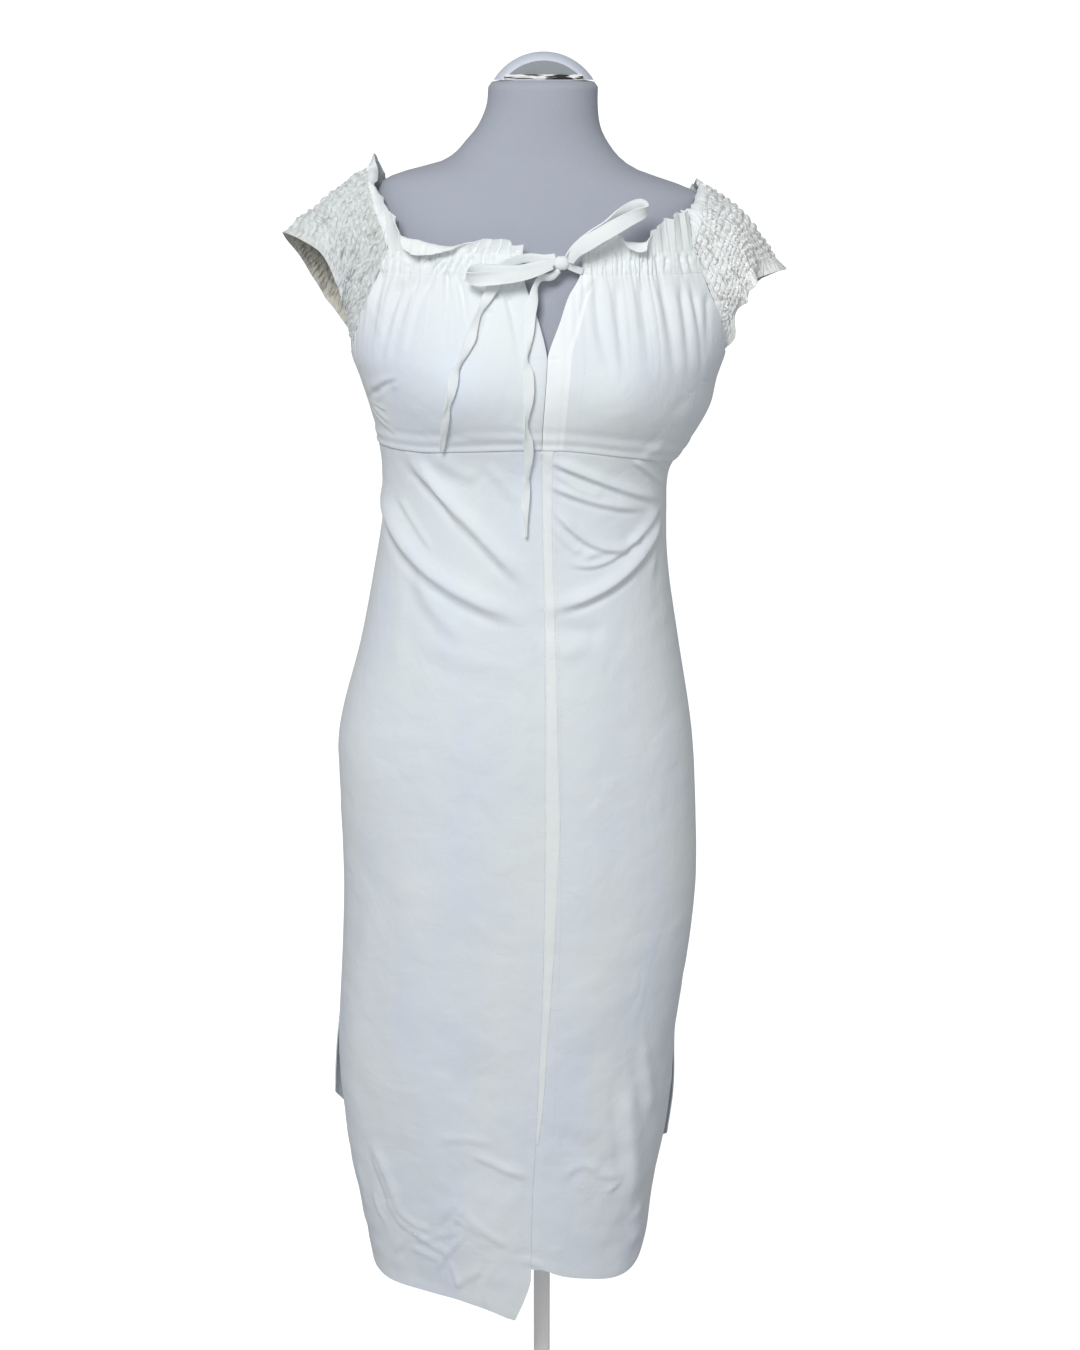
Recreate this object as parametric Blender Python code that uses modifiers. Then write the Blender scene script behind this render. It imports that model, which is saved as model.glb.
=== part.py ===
"""An off-the-shoulder milkmaid dress on a limbless dress form.

Metres, +Z up, front towards -Y. The origin is the middle of the stand's base, on the floor.
Left and right are as seen from the front, so left is -X. Every panel of the dress is a wall
of cloth on one surface, which is worked out from an angle round the body and a height.
"""

import math

import bmesh
import bpy
from mathutils import Vector

CLOTH = 0.002
SEAM = 0.0004
SIDE_GAP = 0.08
RAGLAN_GAP = 0.10
TAPE_SHARE = 0.045
TAPE_THICKNESS = 0.0006
TAPE_PROUD = 0.0012
SKIRT_ROWS = 22
SKIRT_COLUMNS = 17
WAIST_ROWS = 12
WAIST_SHARE = 0.24
BACK_COLUMNS = 22
BACK_ROWS = 18
RIBBON_WIDTH = 0.013
RIBBON_THICKNESS = 0.0012
ROUNDNESS = 0.87
STEP = 0.004
TURN_STEP = 0.8
SIDE = 90.0
BACK = 180.0

CASING_BOTTOM = 1.3705
CASING_TOP = 1.3920
UNDERARM = 1.2885

NECK_TOP = 1.550
CAP_RADIUS = 0.058
CAP_HEIGHT = 0.027
CAP_FLAT_Y = -0.028
CAP_X = 0.0015
PLATE_THICKNESS = 0.0012
TRIM_SIZE = (0.076, 0.004, 0.005)

POLE_RADIUS = 0.0090
COLLAR_RADIUS = 0.020
COLLAR_HEIGHT = 0.035
BASE_RADIUS = 0.190
BASE_THICKNESS = 0.012


class Table:
    """Rows of named columns, read as smooth curves of the first column."""

    def __init__(self, names, rows):
        self.keys = [row[0] for row in rows]
        self.columns = {name: [row[i] for row in rows] for i, name in enumerate(names)}

    def at(self, name, key):
        keys, values = self.keys, self.columns[name]
        key = min(max(key, keys[0]), keys[-1])
        i = max(j for j in range(len(keys) - 1) if keys[j] <= key)
        span = keys[i + 1] - keys[i]
        t = (key - keys[i]) / span
        slopes = []
        for j in (i, i + 1):
            before, after = max(j - 1, 0), min(j + 1, len(keys) - 1)
            slopes.append((values[after] - values[before]) / (keys[after] - keys[before]))
        start, end = values[i], values[i + 1]
        rise = t * t * (3 - 2 * t)
        return (
            start + (end - start) * rise
            + span * (slopes[0] * t * (1 - t) ** 2 - slopes[1] * t * t * (1 - t))
        )


# Half widths and depths of the dress from the middle of the form.
BODY = Table(
    ("height", "left", "right", "front", "back"),
    (
        (0.180, 0.178, 0.110, 0.130, 0.134),
        (0.311, 0.191, 0.117, 0.130, 0.136),
        (0.345, 0.197, 0.120, 0.130, 0.137),
        (0.395, 0.206, 0.125, 0.130, 0.138),
        (0.440, 0.213, 0.134, 0.129, 0.139),
        (0.500, 0.218, 0.141, 0.129, 0.140),
        (0.560, 0.219, 0.144, 0.128, 0.140),
        (0.655, 0.2135, 0.156, 0.128, 0.141),
        (0.732, 0.2105, 0.163, 0.128, 0.142),
        (0.827, 0.2115, 0.161, 0.128, 0.143),
        (0.898, 0.211, 0.156, 0.127, 0.138),
        (0.992, 0.187, 0.141, 0.121, 0.115),
        (1.072, 0.171, 0.129, 0.113, 0.096),
        (1.128, 0.162, 0.127, 0.111, 0.090),
        (1.171, 0.162, 0.130, 0.112, 0.091),
        (1.203, 0.166, 0.151, 0.120, 0.095),
        (1.234, 0.173, 0.168, 0.133, 0.100),
        (1.262, 0.182, 0.175, 0.139, 0.104),
        (1.290, 0.191, 0.184, 0.137, 0.108),
        (1.330, 0.191, 0.188, 0.124, 0.110),
        (1.371, 0.188, 0.184, 0.108, 0.106),
        (1.420, 0.184, 0.180, 0.100, 0.098),
    ),
)

# Where the middle front seam lies across the front, and how far the two front panels stand
# open from it: below the seam's end at the hem, and at the neck slit.
FRONT_SEAM = Table(
    ("height", "middle"),
    (
        (0.270, -0.011),
        (0.343, -0.011),
        (0.410, -0.010),
        (0.487, -0.006),
        (0.700, 0.002),
        (1.000, 0.003),
        (1.207, 0.000),
        (1.296, 0.005),
        (1.420, 0.005),
    ),
)
SEAM_END = 0.328
SLIT_END = 1.296
FRONT_OPENING = Table(
    ("height", "left", "right"),
    (
        (0.272, 0.0170, 0.0),
        (0.305, 0.0050, 0.0),
        (SEAM_END, 0.0, 0.0),
        (1.270, 0.0, 0.0),
        (SLIT_END, 0.0, 0.0),
        (1.330, 0.009, 0.012),
        (1.350, 0.017, 0.019),
        (1.371, 0.023, 0.031),
        (1.392, 0.023, 0.033),
        (1.420, 0.023, 0.033),
    ),
)

# Heights of the underbust seam and of the hems, by angle from the middle front.
UNDERBUST = Table(
    ("angle", "height"),
    (
        (-180, 1.212),
        (-120, 1.208),
        (-90, 1.202),
        (-45, 1.201),
        (0, 1.207),
        (30, 1.198),
        (60, 1.187),
        (76, 1.185),
        (90, 1.193),
        (105, 1.203),
        (120, 1.208),
        (180, 1.212),
    ),
)
HEM_LEFT = Table(
    ("angle", "height"),
    (
        (-90, 0.465),
        (-86, 0.395),
        (-82, 0.335),
        (-77, 0.307),
        (-64, 0.299),
        (-42, 0.298),
        (-27, 0.296),
        (-15, 0.289),
        (-7, 0.279),
        (0, 0.272),
    ),
)
HEM_RIGHT = Table(
    ("angle", "height"),
    (
        (0, 0.338),
        (8, 0.329),
        (19, 0.323),
        (37, 0.316),
        (52, 0.317),
        (70, 0.329),
        (78, 0.346),
        (84, 0.374),
        (90, 0.420),
    ),
)
HEM_BACK = Table(
    ("angle", "height"),
    (
        (90, 0.430),
        (97, 0.418),
        (115, 0.392),
        (140, 0.360),
        (180, 0.345),
        (220, 0.362),
        (245, 0.402),
        (262, 0.455),
        (270, 0.480),
    ),
)

# Low down the side seams are open, and the back panel's edges flare out beside the front ones,
# over VENT_REACH degrees. They also stand back by VENT_BACK of that, so they face forward.
VENT_REACH = 14.0
VENT_BACK = 0.35
VENT = Table(
    ("height", "left", "right"),
    (
        (0.300, 0.050, 0.035),
        (0.470, 0.045, 0.035),
        (0.530, 0.022, 0.012),
        (0.580, 0.000, 0.000),
        (0.600, 0.000, 0.000),
    ),
)

# The raglan seam between bodice and sleeve, by height: its angle at the front and at the back.
RAGLAN = Table(
    ("height", "front", "back"),
    (
        (UNDERARM, 80, 102),
        (1.310, 72, 110),
        (1.340, 62, 119),
        (CASING_BOTTOM, 55, 125.5),
        (CASING_TOP, 50.5, 129.5),
    ),
)

# Drag folds of the skirt: a ridge through three points of the front or back, seen flat. On one
# side it is narrower, by its edge, with a shallow trough beside it. A negative height is a valley.
FOLD_COLUMNS = ("x0", "z0", "x1", "z1", "x2", "z2", "width", "height", "edge")
FOLD_STEPS = 8
FOLD_END = 0.15
FOLD_TAPER = 0.22
FOLD_SIDE = 6.0
TROUGH = 0.22
FRONT_FOLDS = (
    (-0.132, 1.187, -0.080, 1.140, -0.006, 1.064, 0.0110, 0.0060, 0.7),
    (-0.152, 1.154, -0.112, 1.086, -0.005, 1.034, 0.0120, 0.0066, 0.7),
    (-0.119, 1.080, -0.106, 1.046, -0.069, 1.013, 0.0120, 0.0028, 0.8),
    (0.006, 1.197, 0.061, 1.172, 0.119, 1.150, 0.0090, 0.0045, 0.8),
    (0.007, 1.172, 0.052, 1.148, 0.105, 1.136, 0.0090, 0.0040, 0.8),
    (0.011, 1.146, 0.051, 1.108, 0.089, 1.107, 0.0090, 0.0035, 0.8),
    (0.011, 1.048, 0.080, 1.077, 0.122, 1.135, 0.0110, 0.0062, 0.7),
    (-0.020, 1.025, 0.030, 1.020, 0.080, 1.030, 0.0100, -0.0025, 1.0),
    (-0.179, 0.456, -0.166, 0.425, -0.152, 0.381, 0.0120, 0.0024, 0.8),
    (0.087, 0.566, 0.093, 0.478, 0.096, 0.380, 0.0120, 0.0055, 0.7),
    (-0.121, 0.790, -0.137, 0.683, -0.136, 0.573, 0.0300, 0.0040, 1.0),
    (-0.062, 0.597, -0.068, 0.497, -0.063, 0.394, 0.0260, -0.0042, 1.0),
    (0.035, 0.823, 0.044, 0.695, 0.041, 0.574, 0.0260, 0.0030, 1.0),
)
BACK_FOLDS = (
    (-0.120, 1.165, -0.070, 1.120, 0.010, 1.085, 0.0150, 0.0050, 0.8),
    (0.000, 1.150, 0.060, 1.130, 0.115, 1.150, 0.0140, 0.0045, 0.8),
    (0.020, 1.075, 0.075, 1.085, 0.120, 1.115, 0.0150, 0.0040, 0.8),
    (-0.070, 0.800, -0.082, 0.640, -0.078, 0.460, 0.0280, 0.0060, 0.9),
    (0.020, 0.780, 0.026, 0.620, 0.018, 0.430, 0.0260, -0.0055, 0.9),
    (0.090, 0.760, 0.098, 0.600, 0.090, 0.470, 0.0240, 0.0055, 0.9),
)

# Gathers under the casing: count in each stretch, height and how far down they reach.
GATHERS = {"left": 12, "right": 14, "back": 16}
GATHER_LIFT = 0.0030
GATHER_REACH = {"left": 0.085, "right": 0.120}
GATHER_ENDS = 0.04
BUST_SPREAD = 0.046
BUST_LIFT = 0.013
BUST_CENTRES = (-0.082, 0.084)
BUST_HEIGHT = 1.262

# Stations of a sleeve, from the front raglan seam over the shoulder to the back one:
# the neck edge and the cuff edge.
SLEEVE_COLUMNS = ("station", "neck_x", "neck_y", "neck_z", "cuff_x", "cuff_y", "cuff_z")
SLEEVE_LEFT = Table(
    SLEEVE_COLUMNS,
    (
        (0.00, -0.150, -0.078, 1.392, -0.190, -0.042, 1.289),
        (0.12, -0.156, -0.070, 1.414, -0.194, -0.053, 1.327),
        (0.25, -0.164, -0.053, 1.439, -0.199, -0.060, 1.358),
        (0.38, -0.169, -0.028, 1.457, -0.218, -0.048, 1.390),
        (0.50, -0.172, 0.000, 1.466, -0.256, 0.000, 1.403),
        (0.66, -0.168, 0.040, 1.457, -0.243, 0.038, 1.376),
        (0.82, -0.160, 0.069, 1.429, -0.221, 0.056, 1.334),
        (1.00, -0.150, 0.088, 1.392, -0.193, 0.046, 1.289),
    ),
)
SLEEVE_RIGHT = Table(
    SLEEVE_COLUMNS,
    (
        (0.00, 0.148, -0.078, 1.392, 0.187, -0.042, 1.289),
        (0.15, 0.152, -0.070, 1.412, 0.197, -0.056, 1.334),
        (0.32, 0.157, -0.046, 1.434, 0.210, -0.052, 1.362),
        (0.50, 0.160, 0.000, 1.449, 0.238, 0.000, 1.366),
        (0.68, 0.157, 0.044, 1.440, 0.224, 0.044, 1.356),
        (0.85, 0.152, 0.074, 1.416, 0.200, 0.060, 1.332),
        (1.00, 0.148, 0.088, 1.392, 0.187, 0.046, 1.289),
    ),
)
SLEEVE_BULGE = {"left": (0.003, 0.7), "right": (0.011, 0.9)}
SLEEVE_COLUMN_COUNT = 24
SLEEVE_ROW_COUNT = 10
PUCKER = 0.0009
CUFF_FRILL = 0.86
CUFF_WAVE = 0.004

# Height of the neck ruffle, from the middle front round to the side and over each sleeve.
RUFFLE_FRONT = Table(
    ("share", "left", "right"),
    (
        (0.00, 0.011, 0.004),
        (0.10, 0.012, 0.011),
        (0.20, 0.013, 0.013),
        (0.45, 0.006, 0.008),
        (0.60, 0.007, 0.014),
        (0.72, 0.009, 0.020),
        (0.86, 0.022, 0.024),
        (1.00, 0.028, 0.026),
    ),
)
RUFFLE_SLEEVE = Table(
    ("station", "height"),
    ((0.0, 0.024), (0.15, 0.019), (0.32, 0.012), (0.5, 0.012), (0.7, 0.013), (1.0, 0.016)),
)
RUFFLE_BACK_HEIGHT = 0.014
RUFFLE_WAVE = 0.0042
RUFFLE_LEAN = 0.005

# The form's own shape above the dress: its middle lies a little left of the stand's, and its
# left shoulder is a little higher. Inside the dress it keeps clear of the cloth by FORM_EASE,
# and by WAIST_EASE at the waist, where the dress sits on it.
FORM_EASE = 0.0050
WAIST_EASE = 0.0008
WAIST = 1.145
FORM_BOTTOM = 0.790
FORM_COLUMNS = 28
FORM = Table(
    ("height", "half_width", "front", "back", "middle", "tilt"),
    (
        (1.300, 0.174, 0.120, 0.100, 0.000, 0.000),
        (1.350, 0.171, 0.105, 0.098, 0.000, 0.000),
        (1.385, 0.170, 0.093, 0.092, 0.000, 0.015),
        (1.410, 0.170, 0.084, 0.087, 0.000, 0.030),
        (1.428, 0.168, 0.075, 0.081, 0.000, 0.042),
        (1.441, 0.162, 0.068, 0.077, 0.000, 0.046),
        (1.450, 0.153, 0.063, 0.074, 0.000, 0.046),
        (1.459, 0.130, 0.059, 0.070, -0.001, 0.046),
        (1.468, 0.099, 0.056, 0.067, -0.002, 0.045),
        (1.478, 0.082, 0.053, 0.063, -0.004, 0.036),
        (1.493, 0.069, 0.051, 0.060, -0.005, 0.012),
        (1.507, 0.060, 0.050, 0.058, -0.003, 0.000),
        (1.526, 0.0545, 0.050, 0.056, 0.000, 0.000),
        (1.543, 0.0535, 0.050, 0.055, 0.001, 0.000),
    ),
)

# Routes of the ties: across, up, distance in front of the dress, turn of the ribbon, and its
# width as a share of the flat tie, which is bunched. A turn of 0 shows that width from the front.
KNOT = (0.018, 1.381, 0.0085)
KNOT_SIZE = (0.0061, 0.0047, 0.0055)
ROUTE_COLUMNS = ("s", "x", "y", "z", "turn", "width")
TIE_ROUTES = {
    "tie_strand_left": (
        (-0.0228, 1.3763, 0.0030, 0, 0.60),
        (-0.0076, 1.3771, 0.0046, 0, 0.60),
        (0.0125, 1.3790, 0.0052, 0, 0.50),
    ),
    "tie_strand_right": (
        (0.0385, 1.3738, 0.0021, 0, 0.50),
        (0.0310, 1.3756, 0.0062, 10, 0.50),
        (0.0237, 1.3782, 0.0080, 20, 0.45),
    ),
    "tie_loop_right": (
        (0.0226, 1.3856, 0.0090, -40, 0.45),
        (0.0303, 1.3968, 0.0130, -60, 0.85),
        (0.0437, 1.4087, 0.0150, -68, 1.00),
        (0.0579, 1.4177, 0.0160, -66, 1.00),
        (0.0685, 1.4255, 0.0165, -48, 1.00),
        (0.0791, 1.4313, 0.0170, -28, 1.00),
        (0.0877, 1.4341, 0.0178, -25, 1.00),
        (0.0930, 1.4328, 0.0195, -50, 1.00),
        (0.0940, 1.4300, 0.0222, -90, 1.00),
        (0.0903, 1.4264, 0.0248, -140, 1.00),
        (0.0823, 1.4231, 0.0262, -168, 1.00),
        (0.0719, 1.4177, 0.0264, -178, 1.05),
        (0.0583, 1.4096, 0.0256, -184, 1.10),
        (0.0428, 1.4001, 0.0235, -186, 1.10),
        (0.0307, 1.3912, 0.0195, -180, 0.95),
        (0.0262, 1.3805, 0.0150, -170, 0.45),
    ),
    "tie_loop_left": (
        (0.0117, 1.3820, 0.0109, 0, 0.45),
        (-0.0020, 1.3778, 0.0150, 0, 0.75),
        (-0.0203, 1.3724, 0.0165, 8, 0.90),
        (-0.0357, 1.3711, 0.0175, 10, 1.00),
        (-0.0492, 1.3725, 0.0180, 12, 1.00),
        (-0.0607, 1.3717, 0.0188, 25, 1.05),
        (-0.0676, 1.3684, 0.0208, 60, 1.05),
        (-0.0684, 1.3637, 0.0234, 110, 1.05),
        (-0.0615, 1.3598, 0.0255, 155, 1.00),
        (-0.0483, 1.3602, 0.0262, 176, 0.95),
        (-0.0334, 1.3621, 0.0255, 180, 0.90),
        (-0.0200, 1.3649, 0.0242, 182, 0.85),
        (-0.0047, 1.3709, 0.0212, 182, 0.75),
        (0.0096, 1.3768, 0.0160, 180, 0.45),
    ),
    "tie_tail_left": (
        (0.0123, 1.3874, 0.0085, 0, 0.45),
        (0.0027, 1.3853, 0.0090, 0, 0.60),
        (-0.0113, 1.3857, 0.0095, 15, 0.65),
        (-0.0243, 1.3834, 0.0100, 20, 0.65),
        (-0.0354, 1.3780, 0.0098, 20, 0.75),
        (-0.0419, 1.3691, 0.0095, 10, 0.95),
        (-0.0452, 1.3605, 0.0085, 0, 1.00),
        (-0.0514, 1.3478, 0.0070, 0, 0.75),
        (-0.0580, 1.3362, 0.0065, 30, 0.42),
        (-0.0632, 1.3227, 0.0060, 20, 0.62),
        (-0.0664, 1.3118, 0.0060, 0, 0.72),
        (-0.0719, 1.2993, 0.0060, 20, 0.58),
        (-0.0776, 1.2872, 0.0062, 40, 0.42),
        (-0.0815, 1.2788, 0.0062, 0, 0.70),
        (-0.0828, 1.2722, 0.0060, 0, 0.78),
        (-0.0841, 1.2620, 0.0060, 15, 0.55),
        (-0.0870, 1.2514, 0.0062, 40, 0.38),
        (-0.0897, 1.2406, 0.0060, 0, 0.60),
        (-0.0916, 1.2294, 0.0060, 0, 0.58),
        (-0.0930, 1.2178, 0.0062, 10, 0.42),
        (-0.0942, 1.2055, 0.0065, 20, 0.24),
    ),
    "tie_tail_right": (
        (0.0160, 1.3738, 0.0081, 20, 0.45),
        (0.0085, 1.3672, 0.0085, 20, 0.60),
        (-0.0010, 1.3658, 0.0090, 35, 0.55),
        (-0.0057, 1.3586, 0.0088, 40, 0.50),
        (-0.0085, 1.3459, 0.0080, 10, 0.78),
        (-0.0114, 1.3330, 0.0070, 0, 0.85),
        (-0.0128, 1.3178, 0.0065, 0, 0.78),
        (-0.0138, 1.3036, 0.0065, 20, 0.45),
        (-0.0149, 1.2939, 0.0070, 45, 0.30),
        (-0.0136, 1.2828, 0.0065, 10, 0.78),
        (-0.0131, 1.2715, 0.0062, 0, 0.85),
        (-0.0132, 1.2582, 0.0062, 0, 0.72),
        (-0.0141, 1.2455, 0.0065, 25, 0.42),
        (-0.0150, 1.2334, 0.0070, 45, 0.30),
        (-0.0130, 1.2195, 0.0068, 10, 0.58),
        (-0.0127, 1.2066, 0.0068, 0, 0.68),
        (-0.0129, 1.1937, 0.0066, 10, 0.52),
        (-0.0134, 1.1789, 0.0068, 40, 0.32),
        (-0.0148, 1.1671, 0.0068, 10, 0.55),
        (-0.0163, 1.1538, 0.0072, 0, 0.66),
        (-0.0153, 1.1429, 0.0075, 20, 0.42),
        (-0.0151, 1.1291, 0.0075, 30, 0.24),
        (-0.0151, 1.1202, 0.0075, 30, 0.20),
    ),
}

COLOURS = {
    "cotton": ((0.80, 0.83, 0.84), 0.85, 0.0),
    "tie_cotton": ((0.82, 0.81, 0.76), 0.85, 0.0),
    "jersey": ((0.41, 0.45, 0.51), 0.9, 0.0),
    "cap_plastic": ((0.55, 0.60, 0.68), 0.5, 0.0),
    "cap_grey": ((0.30, 0.33, 0.35), 0.5, 0.0),
    "chrome": ((0.80, 0.80, 0.82), 0.12, 1.0),
    "base_paint": ((0.86, 0.86, 0.87), 0.4, 0.0),
}


def clear_scene():
    for thing in list(bpy.data.objects):
        bpy.data.objects.remove(thing, do_unlink=True)


def material(name):
    found = bpy.data.materials.get(name)
    if found:
        return found
    colour, roughness, metallic = COLOURS[name]
    made = bpy.data.materials.new(name)
    made.use_nodes = True
    shader = made.node_tree.nodes["Principled BSDF"]
    shader.inputs["Base Color"].default_value = (*colour, 1.0)
    shader.inputs["Roughness"].default_value = roughness
    shader.inputs["Metallic"].default_value = metallic
    return made


def finish(thing, slot):
    thing.data.materials.clear()
    thing.data.materials.append(material(slot))
    for collection in list(thing.users_collection):
        collection.objects.unlink(thing)
    bpy.data.collections["milkmaid_dress"].objects.link(thing)
    return thing


def object_from(name, bm, slot):
    if bm.calc_volume(signed=True) < 0:
        bmesh.ops.reverse_faces(bm, faces=bm.faces[:])
    mesh = bpy.data.meshes.new(name)
    bm.normal_update()
    bm.to_mesh(mesh)
    bm.free()
    mesh.shade_smooth()
    mesh.set_sharp_from_angle(angle=math.radians(50))
    thing = bpy.data.objects.new(name, mesh)
    bpy.context.scene.collection.objects.link(thing)
    return finish(thing, slot)


def side_of(value):
    return "right" if value > 0 else "left"


def smooth(t):
    """A soft step from 0 to 1."""
    t = min(max(t, 0.0), 1.0)
    return t * t * (3 - 2 * t)


def shares(count, power=1.0):
    return [(i / count) ** power for i in range(count + 1)]


def skin(angle, height):
    """The body surface of the dress, without folds."""
    turn = math.radians(angle)
    across, along = math.sin(turn), math.cos(turn)
    width = BODY.at(side_of(across), height)
    depth = BODY.at("front" if along > 0 else "back", height)
    flare = 0.0
    if abs(angle) > SIDE and height < VENT.keys[-1]:
        near = smooth((SIDE + VENT_REACH - abs(angle)) / VENT_REACH)
        flare = width * VENT.at(side_of(across), height) * near
    x = math.copysign(width * abs(across) ** ROUNDNESS + flare, across)
    y = VENT_BACK * flare - depth * math.copysign(abs(along) ** ROUNDNESS, along)
    if along > 0:
        for centre in BUST_CENTRES:
            away = ((x - centre) / BUST_SPREAD) ** 2 + ((height - BUST_HEIGHT) / BUST_SPREAD) ** 2
            y -= BUST_LIFT * math.exp(-away)
    return Vector((x, y, height))


def angle_at(x, height):
    """The angle at which the front of the dress is this far across."""
    width = BODY.at(side_of(x), height)
    share = min(abs(x) / width, 1.0)
    return math.degrees(math.copysign(math.asin(share ** (1 / ROUNDNESS)), x))


def fold_line(fold):
    """Points along a fold's curve."""
    start, middle, end = (Vector((fold[f"x{i}"], fold[f"z{i}"])) for i in range(3))
    bend = 2 * middle - (start + end) / 2
    return [(1 - t) ** 2 * start + 2 * t * (1 - t) * bend + t * t * end for t in shares(FOLD_STEPS)]


def fold_place(line, point):
    """How far a point lies from a fold's curve, how far along it, and whether on its sharp side."""
    best = (math.inf, 0.0, False)
    for i, (first, second) in enumerate(zip(line, line[1:])):
        step = second - first
        share = min(max((point - first).dot(step) / step.length_squared, 0.0), 1.0)
        away = point - first - share * step
        sharp = away.x * step.y > away.y * step.x
        best = min(best, (away.length, (i + share) / (len(line) - 1), sharp))
    return best


def fold_lift(rows, x, height):
    """How far these drag folds lift the skirt."""
    total = 0.0
    for row in rows:
        fold = dict(zip(FOLD_COLUMNS, row))
        distance, along, sharp = fold_place(fold_line(fold), Vector((x, height)))
        width = fold["width"] * (fold["edge"] if sharp else 1.0)
        ends = smooth(along / FOLD_TAPER) * smooth((1 - along) / FOLD_TAPER)
        ridge = math.exp(-((distance / width) ** 2))
        trough = TROUGH * math.exp(-((distance / width - 2.1) / 0.8) ** 2) if sharp else 0.0
        total += fold["height"] * (FOLD_END + (1 - FOLD_END) * ends) * (ridge - trough)
    return total


def front_x(side, height):
    """How far across the front a front panel's middle edge is, on the seam line itself."""
    middle = FRONT_SEAM.at("middle", height)
    if SEAM_END <= height <= SLIT_END:
        return middle
    opening = max(FRONT_OPENING.at(side, height), 0.0)
    return middle + (opening if side == "right" else -opening)


def gather_lift(angle, height):
    """How far the gathers under the casing lift the bodice."""
    front = abs(angle) <= SIDE
    limit = RAGLAN.at("front" if front else "back", max(height, CASING_BOTTOM))
    if front:
        seam = angle_at(FRONT_SEAM.at("middle", height), height)
        side = side_of(angle - seam)
        start = angle_at(front_x(side, height), height)
        share = (angle - start) / ((limit if side == "right" else -limit) - start)
        count, reach = GATHERS[side], GATHER_REACH[side]
    else:
        share = (BACK - abs(angle)) / (BACK - limit)
        count, reach = GATHERS["back"] / 2, GATHER_REACH["left"]
    if share < 0 or share > 1:
        return 0.0
    down = min(max((CASING_TOP - height) / reach, 0.0), 1.0)
    ends = min(1.0, (1 - share) / GATHER_ENDS, share / GATHER_ENDS if front else 1.0)
    uneven = 0.72 + 0.28 * math.sin(2.9 * share * count + 0.7)
    wave = math.cos(2 * math.pi * share * count)
    return -GATHER_LIFT * (1 - down) ** 1.3 * ends * uneven * wave


def lifted(angle, height):
    """The dress surface with its gathers and folds, lifted straight out from the body."""
    point = skin(angle, height)
    lift = gather_lift(angle, height)
    if height < UNDERBUST.at("height", angle) + STEP:
        rows = FRONT_FOLDS if abs(angle) < SIDE else BACK_FOLDS
        lift += fold_lift(rows, point.x, height) * smooth(abs(abs(angle) - SIDE) / FOLD_SIDE)
    if lift == 0.0:
        return point
    outward = Vector((point.x, point.y * 1.6, 0)).normalized()
    return point + lift * outward


def wrapped(angle):
    return (angle + BACK) % 360 - BACK


def dress(angle, height, proud=0.0):
    """A point of the dress's outer surface, moved out by proud along its normal."""
    before, after = wrapped(angle - TURN_STEP), wrapped(angle + TURN_STEP)
    around = lifted(after, height) - lifted(before, height)
    upward = lifted(wrapped(angle), height + STEP) - lifted(wrapped(angle), height - STEP)
    normal = around.cross(upward).normalized()
    return lifted(wrapped(angle), height) + proud * normal


def wall(name, point, across, down, slot="cotton", thickness=CLOTH):
    """A closed wall of cloth between point(u, v, 0) and point(u, v, -thickness)."""
    bm = bmesh.new()
    outer, inner = (
        [[bm.verts.new(point(u, v, depth)) for u in across] for v in down]
        for depth in (0.0, -thickness)
    )
    last_row, last_column = len(down) - 1, len(across) - 1
    for j in range(last_row):
        for i in range(last_column):
            bm.faces.new((outer[j][i], outer[j + 1][i], outer[j + 1][i + 1], outer[j][i + 1]))
            bm.faces.new((inner[j][i], inner[j][i + 1], inner[j + 1][i + 1], inner[j + 1][i]))
    for i in range(last_column):
        bm.faces.new((outer[0][i], outer[0][i + 1], inner[0][i + 1], inner[0][i]))
        bm.faces.new((outer[-1][i + 1], outer[-1][i], inner[-1][i], inner[-1][i + 1]))
    for j in range(last_row):
        bm.faces.new((outer[j + 1][0], outer[j][0], inner[j][0], inner[j + 1][0]))
        bm.faces.new((outer[j][-1], outer[j + 1][-1], inner[j + 1][-1], inner[j][-1]))
    return object_from(name, bm, slot)


def front_edge(side, height):
    """The angle of a front panel's middle edge, half a seam from the seam line."""
    half_gap = SEAM / 2 if side == "right" else -SEAM / 2
    return angle_at(front_x(side, height) + half_gap, height)


def skirt_front_point(side):
    """The surface of a front skirt panel, from its middle edge to the side and from top to hem."""
    sign = 1 if side == "right" else -1
    hem = HEM_RIGHT if side == "right" else HEM_LEFT

    def point(u, v, depth):
        middle_top = UNDERBUST.at("height", 0)
        guide = middle_top + v * (hem.at("height", 0) - middle_top)
        start = front_edge(side, guide)
        angle = start + u * (sign * (SIDE - SIDE_GAP) - start)
        top = UNDERBUST.at("height", angle) - SEAM / 2
        return dress(angle, top + v * (hem.at("height", angle) - top), depth)

    return point


def skirt_rows():
    """Rows down a front skirt panel, closer together at the waist folds and at the hem."""
    upper = [WAIST_SHARE * t for t in shares(WAIST_ROWS)]
    lower = [toward_end(t) for t in shares(SKIRT_ROWS - WAIST_ROWS)[1:]]
    return upper + [WAIST_SHARE + (1 - WAIST_SHARE) * t for t in lower]


def toward_end(t):
    """A share that runs closer together towards 1."""
    return 1 - (1 - t) ** 1.25


def skirt_front(side):
    columns = [TAPE_SHARE + (1 - TAPE_SHARE) * toward_end(t) for t in shares(SKIRT_COLUMNS)]
    wall(f"skirt_front_{side}", skirt_front_point(side), [0.0] + columns, skirt_rows())


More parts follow.
